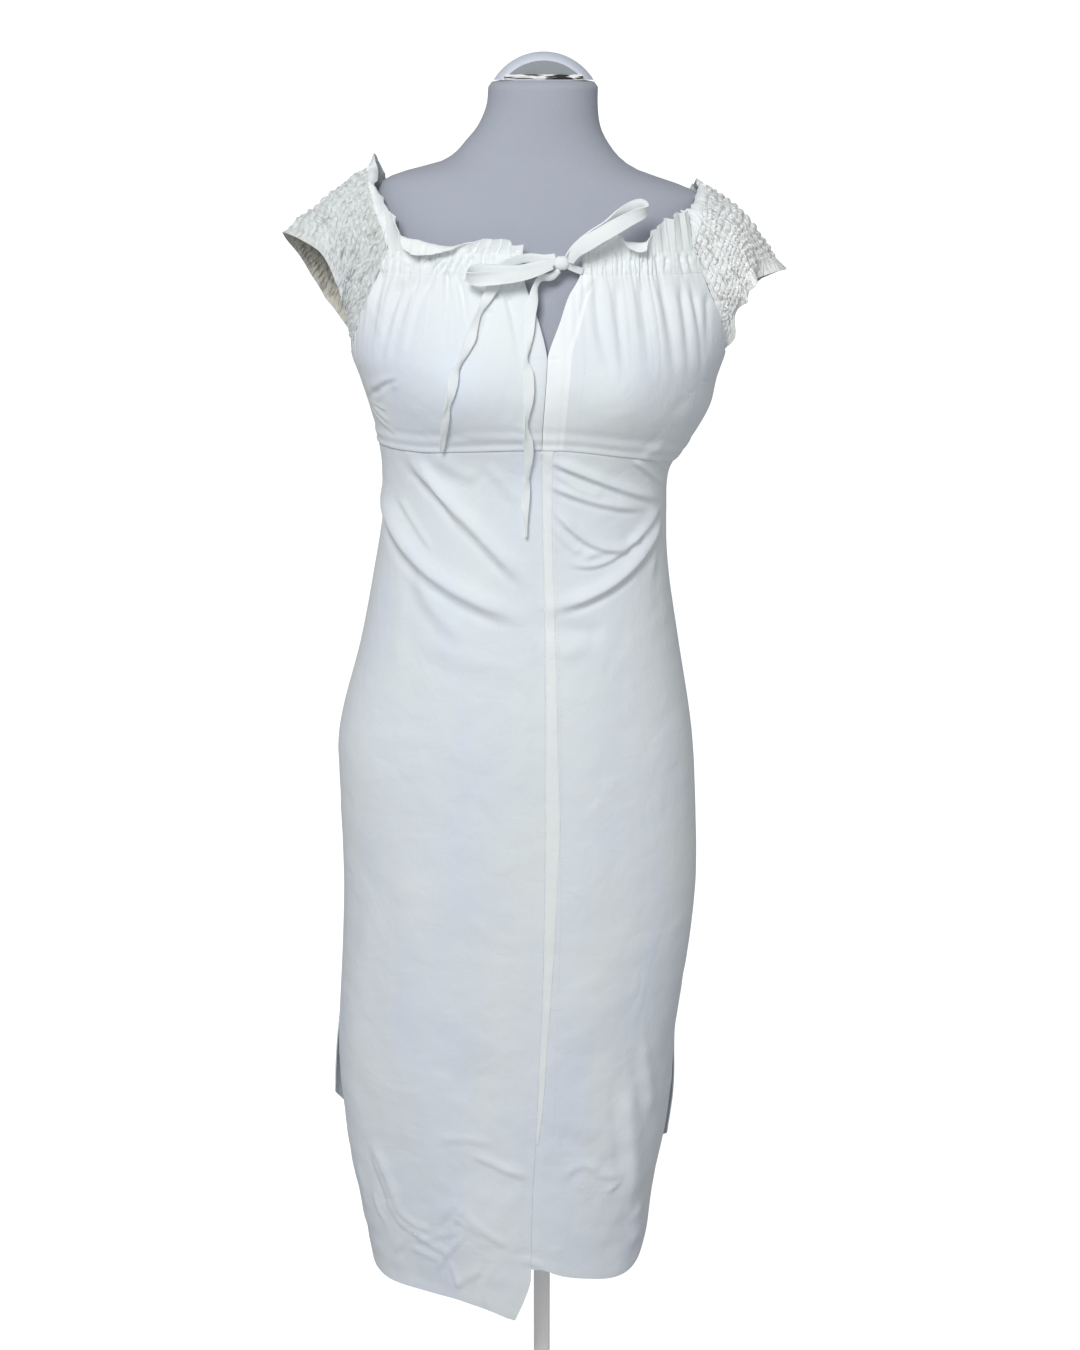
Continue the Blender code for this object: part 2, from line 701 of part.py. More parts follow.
def front_tape():
    """The narrow facing that is stitched on the right front panel, beside the middle seam."""
    panel = skirt_front_point("right")
    rows = skirt_rows()[: SKIRT_ROWS - 4]

    def point(u, v, depth):
        start, end = panel(0.0, v, TAPE_PROUD), panel(TAPE_SHARE, v, TAPE_PROUD)
        narrow = min(1.0, 0.25 + (rows[-1] - v) * 4.0)
        lifted_start, lifted_end = panel(0.0, v, 0.01), panel(TAPE_SHARE, v, 0.01)
        outward = (lifted_start + lifted_end - start - end).normalized()
        return start.lerp(end, 0.06 + u * 0.88 * narrow) + depth * outward

    wall("front_tape", point, shares(1), rows, thickness=TAPE_THICKNESS)


def skirt_back():
    def point(u, v, depth):
        angle = SIDE + SIDE_GAP + u * (BACK - 2 * SIDE_GAP)
        top = UNDERBUST.at("height", wrapped(angle)) - SEAM / 2
        return dress(angle, top + v * (HEM_BACK.at("height", angle) - top), depth)

    wall("skirt_back", point, shares(BACK_COLUMNS), shares(BACK_ROWS, 1.15))


def bodice_top(angle):
    """Height of a bodice panel's top edge: the casing, then the raglan seam, then the underarm."""
    size = abs(wrapped(angle))
    column = "front" if size <= SIDE else "back"
    high, low = RAGLAN.at(column, CASING_BOTTOM), RAGLAN.at(column, UNDERARM)
    if (size - high) * (low - high) <= 0:
        return CASING_BOTTOM
    if (size - low) * (low - high) >= 0:
        return UNDERARM
    below, above = UNDERARM, CASING_BOTTOM
    for _ in range(30):
        middle = (below + above) / 2
        if (RAGLAN.at(column, middle) - size) * (low - high) > 0:
            below = middle
        else:
            above = middle
    return (below + above) / 2


def raglan_rows():
    """Heights of a sleeve's rows on the raglan seam that a bodice panel has below its casing."""
    rows = [CASING_TOP + t * (UNDERARM - CASING_TOP) for t in shares(SLEEVE_ROW_COUNT)]
    return [height for height in rows if height < CASING_BOTTOM - STEP]


def bodice_front(side):
    sign = 1 if side == "right" else -1
    corner, underarm = RAGLAN.at("front", CASING_BOTTOM), RAGLAN.at("front", UNDERARM)
    edge = SIDE - SIDE_GAP
    first = abs(front_edge(side, CASING_BOTTOM))
    columns = [first + (corner - first) * t for t in shares(2 * GATHERS[side])]
    columns += [RAGLAN.at("front", height) for height in raglan_rows()]
    columns += [underarm + (edge - underarm) * t for t in shares(2)[1:]]

    def point(u, v, depth):
        seam = UNDERBUST.at("height", 0)
        guide = seam + v * (CASING_BOTTOM - seam)
        start = sign * front_edge(side, guide)
        angle = sign * (start + u * (edge - start))
        bottom = UNDERBUST.at("height", angle) + SEAM / 2
        return dress(angle, bottom + v * (bodice_top(angle) - SEAM - bottom), depth)

    across = [(column - first) / (edge - first) for column in columns]
    wall(f"bodice_front_{side}", point, across, [1 - t for t in shares(9, 1.15)])


def bodice_back():
    underarm, corner = RAGLAN.at("back", UNDERARM), RAGLAN.at("back", CASING_BOTTOM)
    edge = SIDE + SIDE_GAP
    half = [edge + (underarm - edge) * t for t in shares(2)]
    half += [RAGLAN.at("back", height) for height in raglan_rows()[-2::-1]] + [corner]
    half += [corner + (BACK - corner) * t for t in shares(GATHERS["back"] // 2)[1:]]
    columns = half + [360 - angle for angle in half[-2::-1]]

    def point(u, v, depth):
        bottom = UNDERBUST.at("height", wrapped(u)) + SEAM / 2
        return dress(u, bottom + v * (bodice_top(u) - SEAM - bottom), depth)

    wall("bodice_back", point, columns, [1 - t for t in shares(5)])


def casing_span(part):
    """The angles between which a casing or ruffle runs, as functions of height."""
    if part == "back":
        return (
            lambda height: RAGLAN.at("back", height) + RAGLAN_GAP,
            lambda height: 360 - RAGLAN.at("back", height) - RAGLAN_GAP,
        )
    sign = 1 if part == "right" else -1
    return (
        lambda height: front_edge(part, height),
        lambda height: sign * (RAGLAN.at("front", height) - RAGLAN_GAP),
    )


def neck_casing(part, columns):
    start, end = casing_span(part)

    def point(u, v, depth):
        height = CASING_TOP - v * (CASING_TOP - CASING_BOTTOM)
        angle = start(height) + u * (end(height) - start(height))
        return dress(angle, height, depth)

    wall(f"neck_casing_{part}", point, shares(columns), shares(1))


def neck_ruffle(part, waves):
    start, end = casing_span(part)

    def point(u, v, depth):
        first, last = start(CASING_TOP), end(CASING_TOP)
        angle = first + (0.005 + 0.97 * u) * (last - first)
        rise = RUFFLE_BACK_HEIGHT if part == "back" else RUFFLE_FRONT.at(part, u)
        rise *= 1 + 0.12 * math.sin(5.1 * u * waves)
        wave = RUFFLE_WAVE * math.cos(2 * math.pi * u * waves) * v ** 0.7
        lean = RUFFLE_LEAN * v * v
        return dress(angle, CASING_TOP, depth + lean + wave) + Vector((0, 0, 2 * SEAM + v * rise))

    wall(f"neck_ruffle_{part}", point, shares(waves * 4), shares(2))


def sleeve_surface(table, station, down):
    """A sleeve between its neck edge and its cuff, without puckers."""
    neck = Vector([table.at(f"neck_{axis}", station) for axis in "xyz"])
    cuff = Vector([table.at(f"cuff_{axis}", station) for axis in "xyz"])
    sideways = table.columns["neck_x"][0]
    outward = Vector((math.copysign(1.0, sideways), 0, 0.9)).normalized()
    most, where = SLEEVE_BULGE[side_of(sideways)]
    arch = math.sin(math.pi * min(max(down, 0), 1) ** where)
    bulge = most * arch * math.sin(math.pi * station)
    return neck.lerp(cuff, down) + bulge * outward


def raglan_edge(side, column, down, depth):
    """The edge of a sleeve on the raglan seam, a seam's width from the bodice."""
    sign = 1 if side == "right" else -1
    height = CASING_TOP + down * (UNDERARM - CASING_TOP)
    angle = RAGLAN.at(column, height) + (RAGLAN_GAP if column == "front" else -RAGLAN_GAP)
    return dress(sign * angle, height + SEAM, depth)


def sleeve_point(side, station, down, depth):
    """A point of a sleeve's outer surface, moved out by depth, which meets both raglan seams."""
    table, sign = (SLEEVE_RIGHT, 1) if side == "right" else (SLEEVE_LEFT, -1)
    small = 0.02
    around = (
        sleeve_surface(table, min(station + small, 1), down)
        - sleeve_surface(table, max(station - small, 0), down)
    )
    along = (
        sleeve_surface(table, station, min(down + small, 1))
        - sleeve_surface(table, station, max(down - small, 0))
    )
    normal = -sign * around.cross(along).normalized()
    point = sleeve_surface(table, station, down) + depth * normal
    for end, column in ((0, "front"), (1, "back")):
        reach = max(0.0, 1 - abs(station - end) / 0.25)
        weight = reach * reach * (3 - 2 * reach)
        if weight > 0:
            base = sleeve_surface(table, end, down)
            point += weight * (raglan_edge(side, column, down, depth) - base)
            point -= weight * depth * normal
    return point


def alternate(number):
    """Up at odd numbers, and less far down at even ones."""
    return 1.0 if number % 2 else -0.4


def sleeve(side):
    def point(u, v, depth):
        column, row = round(u * SLEEVE_COLUMN_COUNT), round(v * SLEEVE_ROW_COUNT)
        if row == 0 or column in (0, SLEEVE_COLUMN_COUNT):
            return sleeve_point(side, u, v, depth)
        if v >= CUFF_FRILL:
            share = (v - CUFF_FRILL) / (1 - CUFF_FRILL)
            return sleeve_point(side, u, v, depth + CUFF_WAVE * share * alternate(column))
        raised = PUCKER * alternate(column + row) if depth == 0.0 else 0.0
        return sleeve_point(side, u, v, depth + raised)

    wall(f"sleeve_{side}", point, shares(SLEEVE_COLUMN_COUNT), shares(SLEEVE_ROW_COUNT))


def sleeve_ruffle(side, waves):
    def point(u, v, depth):
        base = sleeve_point(side, u, 0.0, depth)
        below = sleeve_point(side, u, 0.12, depth)
        upward = ((base - below).normalized() + Vector((0, 0, 0.9))).normalized()
        outward = sleeve_point(side, u, 0.0, 1.0) - sleeve_point(side, u, 0.0, 0.0)
        rise = RUFFLE_SLEEVE.at("height", u) * (1 + 0.15 * math.sin(4.3 * u * waves))
        wave = RUFFLE_WAVE * math.cos(2 * math.pi * u * waves) * v ** 0.7
        return base + (2 * SEAM + v * rise) * upward + wave * outward.normalized()

    wall(f"sleeve_ruffle_{side}", point, [0.02 + 0.96 * t for t in shares(waves * 4)], shares(2))


def route_point(x, z, proud):
    """A point this far in front of the dress, or of its casing where the tie stands above it."""
    height = min(z, CASING_TOP)
    angle = angle_at(x, height)
    around = skin(angle + TURN_STEP, height) - skin(angle - TURN_STEP, height)
    upward = skin(angle, height + STEP) - skin(angle, height - STEP)
    return skin(angle, height) + proud * around.cross(upward).normalized() + Vector((0, 0, z - height))


def smooth_route(rows, spacing=0.011):
    """Points about this far apart on a smooth curve through the rows, with turns and widths."""
    knots = [(*route_point(x, z, proud), turn, width) for x, z, proud, turn, width in rows]
    keys = [0.0]
    for a, b in zip(knots, knots[1:]):
        keys.append(keys[-1] + (Vector(a[:3]) - Vector(b[:3])).length)
    curve = Table(ROUTE_COLUMNS, [(s, *k) for s, k in zip(keys, knots)])
    count = max(2, round(keys[-1] / spacing))
    return [
        (Vector([curve.at(axis, s) for axis in "xyz"]), curve.at("turn", s), curve.at("width", s))
        for s in (keys[-1] * share for share in shares(count))
    ]


def ribbon(name, rows):
    """A flat tie: a four-sided strip that turns about its route and is bunched where it says."""
    route = smooth_route(rows)
    bm = bmesh.new()
    rings = []
    for i, (centre, turn, share) in enumerate(route):
        before, after = route[max(i - 1, 0)][0], route[min(i + 1, len(route) - 1)][0]
        along = (after - before).normalized()
        sideways = along.cross(Vector((0, 1, 0))).normalized()
        facing = sideways.cross(along).normalized()
        angle = math.radians(turn)
        wide = math.cos(angle) * sideways + math.sin(angle) * facing
        thin = wide.cross(along).normalized()
        width = RIBBON_WIDTH * share
        rings.append(
            [
                bm.verts.new(centre + a * wide * width / 2 + b * thin * RIBBON_THICKNESS / 2)
                for a, b in ((1, 1), (-1, 1), (-1, -1), (1, -1))
            ]
        )
    for first, second in zip(rings, rings[1:]):
        for i in range(4):
            j = (i + 1) % 4
            bm.faces.new((first[i], first[j], second[j], second[i]))
    bm.faces.new(rings[0][::-1])
    bm.faces.new(rings[-1])
    object_from(name, bm, "tie_cotton")


def knot():
    centre = route_point(*KNOT)
    bpy.ops.mesh.primitive_uv_sphere_add(segments=10, ring_count=6, radius=1, location=centre)
    ball = bpy.context.object
    ball.name = "tie_knot"
    ball.scale = KNOT_SIZE
    bpy.ops.object.transform_apply(location=False, rotation=False, scale=True)
    finish(ball, "tie_cotton")


def form_ring(height):
    """One ring of the form: its own shape at the chest and neck, and the dress's below."""
    ring = []
    waist = math.exp(-(((height - WAIST) / 0.022) ** 2))
    inside = CLOTH + FORM_EASE + waist * (WAIST_EASE - FORM_EASE)
    blend = min(max((height - 1.285) / 0.06, 0.0), 1.0)
    for i in range(FORM_COLUMNS):
        angle = wrapped(360 * i / FORM_COLUMNS)
        turn = math.radians(angle)
        across, along = math.sin(turn), math.cos(turn)
        depth = FORM.at("front" if along > 0 else "back", height)
        x = FORM.at("half_width", height) * math.copysign(abs(across) ** 0.92, across)
        y = -depth * math.copysign(abs(along) ** 0.92, along)
        own = Vector((x + FORM.at("middle", height), y, height - x * FORM.at("tilt", height)))
        base = skin(angle, height)
        around = skin(wrapped(angle + 1), height) - skin(wrapped(angle - 1), height)
        inward = around.cross(Vector((0, 0, -1))).normalized()
        covered = base + inside * inward
        ring.append(covered.lerp(own, blend * blend * (3 - 2 * blend)))
    return ring


def dress_form():
    """Torso, shoulders and neck in one smooth body, closed above and below."""
    heights = [FORM_BOTTOM + 0.012, 0.860, 0.920, 0.980, 1.030, 1.070, 1.100, 1.125, WAIST]
    heights += [1.165, 1.190, 1.225, 1.262, 1.300, 1.335, 1.365, 1.390, 1.412, 1.430]
    heights += [1.443, 1.452, 1.461, 1.470, 1.482, 1.496, 1.512, 1.530]
    bm = bmesh.new()
    rings = []

    def add_ring(points):
        rings.append([bm.verts.new(point) for point in points])

    low = form_ring(heights[0])
    middle = sum(low, Vector()) / len(low)
    for shrink, drop in ((0.55, 0.012), (0.90, 0.009)):
        add_ring(middle.lerp(p, shrink) - Vector((0, 0, drop)) for p in low)
    for height in heights:
        add_ring(form_ring(height))
    top = form_ring(FORM.keys[-1])
    neck_middle = sum(top, Vector()) / len(top)
    for shrink, drop in ((1.0, 0.004), (0.95, 0.001), (0.86, 0.0)):
        add_ring(Vector((*neck_middle.lerp(p, shrink).xy, NECK_TOP - drop)) for p in top)
    for first, second in zip(rings, rings[1:]):
        for i in range(FORM_COLUMNS):
            j = (i + 1) % FORM_COLUMNS
            bm.faces.new((first[i], first[j], second[j], second[i]))
    bm.faces.new(rings[0][::-1])
    bm.faces.new(rings[-1])
    object_from("form_torso", bm, "jersey")


def cut_away(thing, low, high):
    """Cut the box between two corners from a solid."""
    bpy.ops.mesh.primitive_cube_add(size=1)
    cutter = bpy.context.object
    cutter.name = f"cutter_{thing.name}"
    cutter.location = (Vector(low) + Vector(high)) / 2
    cutter.scale = Vector(high) - Vector(low)
    cutter.hide_render = True
    cutter.display_type = "WIRE"
    for collection in list(cutter.users_collection):
        collection.objects.unlink(cutter)
    bpy.data.collections["cutters"].objects.link(cutter)
    cut = thing.modifiers.new("cut", "BOOLEAN")
    cut.object = cutter
    return cutter


def neck_cap():
    """A low dome with a flat front, its grey face and the bright trim at its foot."""
    foot = NECK_TOP + 0.0003
    centre_z = NECK_TOP + CAP_HEIGHT - CAP_RADIUS
    bpy.ops.mesh.primitive_uv_sphere_add(
        segments=28, ring_count=20, radius=CAP_RADIUS, location=(CAP_X, 0, centre_z)
    )
    dome = bpy.context.object
    dome.name = "neck_cap"
    cut_away(dome, (-0.1, -0.1, centre_z - 0.1), (0.1, 0.1, foot))
    front = cut_away(dome, (-0.1, -0.1, centre_z - 0.12), (0.1, CAP_FLAT_Y, centre_z + 0.12))
    front.name = "cutter_neck_cap_front"
    finish(dome, "cap_plastic")

    slice_radius = math.sqrt(CAP_RADIUS**2 - CAP_FLAT_Y**2) - 0.0015
    rise = foot + 0.0003 - centre_z
    half = math.acos(rise / slice_radius)
    bm = bmesh.new()
    steps = 14
    outline = [
        bm.verts.new(
            (
                CAP_X + slice_radius * math.sin(half * (1 - 2 * i / steps)),
                CAP_FLAT_Y - 0.0003,
                centre_z + slice_radius * math.cos(half * (1 - 2 * i / steps)),
            )
        )
        for i in range(steps + 1)
    ]
    plate = bm.faces.new(outline)
    moved = bmesh.ops.extrude_face_region(bm, geom=[plate])
    bmesh.ops.translate(
        bm,
        vec=(0, -PLATE_THICKNESS, 0),
        verts=[v for v in moved["geom"] if isinstance(v, bmesh.types.BMVert)],
    )
    object_from("cap_face", bm, "cap_grey")

    depth, height = TRIM_SIZE[1:]
    bpy.ops.mesh.primitive_cube_add(size=1)
    trim = bpy.context.object
    trim.name = "neck_trim"
    trim.scale = TRIM_SIZE
    trim.location = (
        CAP_X,
        CAP_FLAT_Y - 0.0006 - PLATE_THICKNESS - depth / 2,
        foot + height / 2,
    )
    bpy.ops.object.transform_apply(location=False, rotation=False, scale=True)
    rounded = trim.modifiers.new("rounded", "BEVEL")
    rounded.width = 0.0012
    rounded.segments = 1
    finish(trim, "chrome")


def cylinder(name, radius, low, high, slot, bevel, sides=20):
    bpy.ops.mesh.primitive_cylinder_add(
        vertices=sides, radius=radius, depth=high - low, location=(0, 0, (low + high) / 2)
    )
    turned = bpy.context.object
    turned.name = name
    rounded = turned.modifiers.new("rounded", "BEVEL")
    rounded.width = bevel
    rounded.segments = 1
    rounded.limit_method = "ANGLE"
    turned.data.shade_smooth()
    turned.data.set_sharp_from_angle(angle=math.radians(40))
    finish(turned, slot)


def stand():
    gap = 0.0003
    cylinder("stand_base", BASE_RADIUS, 0, BASE_THICKNESS, "base_paint", 0.003, sides=40)
    collar_low = BASE_THICKNESS + gap
    collar_high = collar_low + COLLAR_HEIGHT
    cylinder("stand_collar", COLLAR_RADIUS, collar_low, collar_high, "chrome", 0.002)
    cylinder("stand_pole", POLE_RADIUS, collar_high + gap, FORM_BOTTOM - gap, "base_paint", 0.001)


def main():
    clear_scene()
    for name in ("milkmaid_dress", "cutters"):
        if name not in bpy.data.collections:
            bpy.context.scene.collection.children.link(bpy.data.collections.new(name))
    dress_form()
    neck_cap()
    stand()
    for side in ("left", "right"):
        skirt_front(side)
        bodice_front(side)
        sleeve(side)
        sleeve_ruffle(side, 6)
    skirt_back()
    bodice_back()
    for part, waves in (("left", 9), ("right", 9), ("back", 10)):
        neck_casing(part, 2 * GATHERS[part])
        neck_ruffle(part, waves)
    front_tape()
    knot()
    for name, rows in TIE_ROUTES.items():
        ribbon(name, rows)


main()
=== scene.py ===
# %% [markdown]
# # Milkmaid dress on a limbless dress form
#
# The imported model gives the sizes. Every piece of cloth here is a finer sheet on the same
# surface as its solid, with the gathers, folds and puckers of the photo worked into it.
# Metres, Z up, front towards -Y. Left and right are as seen from the front.

import math

import bpy
import numpy as np
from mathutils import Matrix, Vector


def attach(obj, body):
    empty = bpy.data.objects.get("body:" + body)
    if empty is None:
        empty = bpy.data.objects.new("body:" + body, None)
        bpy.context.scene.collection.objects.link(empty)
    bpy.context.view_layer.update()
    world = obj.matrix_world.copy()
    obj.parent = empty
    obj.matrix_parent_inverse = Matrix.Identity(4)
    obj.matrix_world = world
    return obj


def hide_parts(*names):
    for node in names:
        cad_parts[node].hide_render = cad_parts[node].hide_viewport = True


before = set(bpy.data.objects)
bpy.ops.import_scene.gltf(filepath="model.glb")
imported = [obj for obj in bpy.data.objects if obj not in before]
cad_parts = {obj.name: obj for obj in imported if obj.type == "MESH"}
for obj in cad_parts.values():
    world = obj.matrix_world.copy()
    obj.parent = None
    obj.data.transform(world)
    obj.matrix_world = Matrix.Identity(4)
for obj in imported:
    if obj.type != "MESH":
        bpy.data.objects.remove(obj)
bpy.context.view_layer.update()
print("nodes:", len(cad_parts))

# %% [markdown]
# ## Sizes
#
# The seams and edges lie where the solids have them, so the tables are the same as theirs.
# A table is read as a smooth curve of its first column, for whole arrays at once. Where its
# rows aren't in metres, its unit is what they are divided by.

# %% Constants
MM = 1000
TENTH_MM = 10000
CLOTH = 0.0012
SEAM = 0.0004
SIDE_GAP = 0.08
TAPE_SHARE = 0.045
RIBBON_WIDTH = 0.013
RIBBON_THICKNESS = 0.0014
ROUNDNESS = 0.87
SIDE = 90.0
BACK = 180.0
SIGN = {"left": -1, "right": 1}
CASING_BOTTOM = 1.3705
CASING_TOP = 1.3920
UNDERARM = 1.2885
BUST_SPREAD = 0.046
BUST_LIFT = 0.013
BUST_CENTRES = (-0.082, 0.084)
BUST_HEIGHT = 1.262
VENT_REACH = 14.0
VENT_BACK = 0.35
SEAM_END = 0.328
SLIT_END = 1.296
FORM_EASE = 0.0050
WAIST_EASE = 0.0008
WAIST = 1.145
FORM_LOW = 0.802
NECK_TOP = 1.550
CAP_RADIUS = 0.058
CAP_HEIGHT = 0.027
CAP_FLAT_Y = -0.028
CAP_X = 0.0015


# %% Tables
class Table:
    """Rows of named columns, read as smooth curves of the first column."""

    def __init__(self, names, *rows, unit=1):
        data = np.array(rows, dtype=float) / unit
        self.keys = data[:, 0]
        self.columns = dict(zip(names.split(), data.T))

    def at(self, name, key):
        keys, values = self.keys, self.columns[name]
        key = np.clip(key, keys[0], keys[-1])
        i = np.clip(np.searchsorted(keys, key, side="right") - 1, 0, len(keys) - 2)
        before = np.maximum(np.arange(len(keys)) - 1, 0)
        after = np.minimum(np.arange(len(keys)) + 1, len(keys) - 1)
        slopes = (values[after] - values[before]) / (keys[after] - keys[before])
        span = keys[i + 1] - keys[i]
        t = (key - keys[i]) / span
        rise = t * t * (3 - 2 * t)
        return (
            values[i] + (values[i + 1] - values[i]) * rise
            + span * (slopes[i] * t * (1 - t) ** 2 - slopes[i + 1] * t * t * (1 - t))
        )


BODY = Table(
    "height left right front back",
    (180, 178, 110, 130, 134),
    (311, 191, 117, 130, 136),
    (345, 197, 120, 130, 137),
    (395, 206, 125, 130, 138),
    (440, 213, 134, 129, 139),
    (500, 218, 141, 129, 140),
    (560, 219, 144, 128, 140),
    (655, 213.5, 156, 128, 141),
    (732, 210.5, 163, 128, 142),
    (827, 211.5, 161, 128, 143),
    (898, 211, 156, 127, 138),
    (992, 187, 141, 121, 115),
    (1072, 171, 129, 113, 96),
    (1128, 162, 127, 111, 90),
    (1171, 162, 130, 112, 91),
    (1203, 166, 151, 120, 95),
    (1234, 173, 168, 133, 100),
    (1262, 182, 175, 139, 104),
    (1290, 191, 184, 137, 108),
    (1330, 191, 188, 124, 110),
    (1371, 188, 184, 108, 106),
    (1420, 184, 180, 100, 98),
    unit=MM,
)
FRONT_SEAM = Table(
    "height middle",
    (270, -11), (343, -11), (410, -10), (487, -6), (700, 2), (1000, 3), (1207, 0), (1296, 5),
    (1420, 5),
    unit=MM,
)
FRONT_OPENING = Table(
    "height left right",
    (0.272, 0.017, 0), (0.305, 0.005, 0), (SEAM_END, 0, 0), (1.27, 0, 0), (SLIT_END, 0, 0),
    (1.33, 0.009, 0.012), (1.35, 0.017, 0.019), (1.371, 0.023, 0.031), (1.392, 0.023, 0.033),
    (1.42, 0.023, 0.033),
)
UNDERBUST = Table(
    "angle height",
    (-180, 1.212), (-120, 1.208), (-90, 1.202), (-45, 1.201), (0, 1.207), (30, 1.198),
    (60, 1.187), (76, 1.185), (90, 1.193), (105, 1.203), (120, 1.208), (180, 1.212),
)
HEMS = {
    "left": Table(
        "angle height",
        (-90, 0.465), (-86, 0.395), (-82, 0.335), (-77, 0.307), (-64, 0.299), (-42, 0.298),
        (-27, 0.296), (-15, 0.289), (-7, 0.279), (0, 0.272),
    ),
    "right": Table(
        "angle height",
        (0, 0.338), (8, 0.329), (19, 0.323), (37, 0.316), (52, 0.317), (70, 0.329), (78, 0.346),
        (84, 0.374), (90, 0.42),
    ),
    "back": Table(
        "angle height",
        (90, 0.43), (97, 0.418), (115, 0.392), (140, 0.36), (180, 0.345), (220, 0.362),
        (245, 0.402), (262, 0.455), (270, 0.48),
    ),
}
VENT = Table(
    "height left right",
    (0.3, 0.05, 0.035), (0.47, 0.045, 0.035), (0.53, 0.022, 0.012), (0.58, 0, 0), (0.6, 0, 0),
)
RAGLAN = Table(
    "height front back",
    (UNDERARM, 80, 102), (1.31, 72, 110), (1.34, 62, 119), (CASING_BOTTOM, 55, 125.5),
    (CASING_TOP, 50.5, 129.5),
)
SLEEVE_COLUMNS = "station neck_x neck_y neck_z cuff_x cuff_y cuff_z"
SLEEVE_UNITS = (1, MM, MM, MM, MM, MM, MM)
SLEEVES = {
    "left": Table(
        SLEEVE_COLUMNS,
        (0, -150, -78, 1392, -190, -42, 1289),
        (0.12, -156, -70, 1414, -194, -53, 1327),
        (0.25, -164, -53, 1439, -199, -60, 1358),
        (0.38, -169, -28, 1457, -218, -48, 1390),
        (0.5, -172, 0, 1466, -256, 0, 1403),
        (0.66, -168, 40, 1457, -243, 38, 1376),
        (0.82, -160, 69, 1429, -221, 56, 1334),
        (1, -150, 88, 1392, -193, 46, 1289),
        unit=SLEEVE_UNITS,
    ),
    "right": Table(
        SLEEVE_COLUMNS,
        (0, 148, -78, 1392, 187, -42, 1289),
        (0.15, 152, -70, 1412, 197, -56, 1334),
        (0.32, 157, -46, 1434, 210, -52, 1362),
        (0.5, 160, 0, 1449, 238, 0, 1366),
        (0.68, 157, 44, 1440, 224, 44, 1356),
        (0.85, 152, 74, 1416, 200, 60, 1332),
        (1, 148, 88, 1392, 187, 46, 1289),
        unit=SLEEVE_UNITS,
    ),
}
SLEEVE_BULGE = {"left": (0.003, 0.7), "right": (0.011, 0.9)}
FORM = Table(
    "height half_width front back middle tilt",
    (1300, 174, 120, 100, 0, 0),
    (1350, 171, 105, 98, 0, 0),
    (1385, 170, 93, 92, 0, 15),
    (1410, 170, 84, 87, 0, 30),
    (1428, 168, 75, 81, 0, 42),
    (1441, 162, 68, 77, 0, 46),
    (1450, 153, 63, 74, 0, 46),
    (1459, 130, 59, 70, -1, 46),
    (1468, 99, 56, 67, -2, 45),
    (1478, 82, 53, 63, -4, 36),
    (1493, 69, 51, 60, -5, 12),
    (1507, 60, 50, 58, -3, 0),
    (1526, 54.5, 50, 56, 0, 0),
    (1543, 53.5, 50, 55, 1, 0),
    unit=MM,
)

# %% [markdown]
# ## Camera
#
# The photo was taken from the height of the form's neck, looking a little down, from 2.3 m.

# %% Camera
CAMERA_PLACE = (-0.002, -2.3, 1.55)
CAMERA_DOWN = 14.6
CAMERA_LENS = 60.9

bpy.ops.object.camera_add(location=CAMERA_PLACE, rotation=(math.radians(90 - CAMERA_DOWN), 0, 0))
camera = bpy.context.object
camera.data.sensor_width = 36
camera.data.lens = CAMERA_LENS
bpy.context.scene.camera = camera
print("camera at", CAMERA_PLACE)

# %% [markdown]
# ## Surfaces
#
# One function gives the body surface of the dress from an angle and a height. Folds are a
# distance along its normal.


# %% Body surface
def smooth(t):
    """A soft step from 0 to 1."""
    t = np.clip(t, 0.0, 1.0)
    return t * t * (3 - 2 * t)


def bell(distance, width):
    """A soft bump, 1 in its middle."""
    return np.exp(-((distance / width) ** 2))


def unit(vectors):
    return vectors / np.maximum(np.linalg.norm(vectors, axis=-1, keepdims=True), 1e-12)


def wrapped(angle):
    return (angle + BACK) % 360 - BACK


def skin(angle, height):
    """The body surface of the dress, without folds."""
    angle, height = np.broadcast_arrays(np.asarray(angle, float), np.asarray(height, float))
    turn = np.radians(angle)
    across, along = np.sin(turn), np.cos(turn)
    width = np.where(across > 0, BODY.at("right", height), BODY.at("left", height))
    depth = np.where(along > 0, BODY.at("front", height), BODY.at("back", height))
    vent = np.where(across > 0, VENT.at("right", height), VENT.at("left", height))
    size = np.abs(wrapped(angle))
    near = smooth((SIDE + VENT_REACH - size) / VENT_REACH)
    flare = np.where(size > SIDE, width * vent * near, 0.0)
    x = np.sign(across) * (width * np.abs(across) ** ROUNDNESS + flare)
    y = VENT_BACK * flare - depth * np.sign(along) * np.abs(along) ** ROUNDNESS
    for centre in BUST_CENTRES:
        away = ((x - centre) / BUST_SPREAD) ** 2 + ((height - BUST_HEIGHT) / BUST_SPREAD) ** 2
        y = y - np.where(along > 0, BUST_LIFT * np.exp(-away), 0.0)
    return np.stack([x, y, height], axis=-1)


def dress(angle, height, lift=0.0):
    """A point of the dress, this far out from the body surface."""
    around = skin(angle + 0.8, height) - skin(angle - 0.8, height)
    upward = skin(angle, height + 0.004) - skin(angle, height - 0.004)
    normal = unit(np.cross(around, upward))
    return skin(angle, height) + np.asarray(lift)[..., None] * normal


def angle_at(x, height):
    """The angle at which the front of the dress is this far across."""
    width = np.where(np.asarray(x) > 0, BODY.at("right", height), BODY.at("left", height))
    share = np.minimum(np.abs(x) / width, 1.0)
    return np.degrees(np.sign(x) * np.arcsin(share ** (1 / ROUNDNESS)))


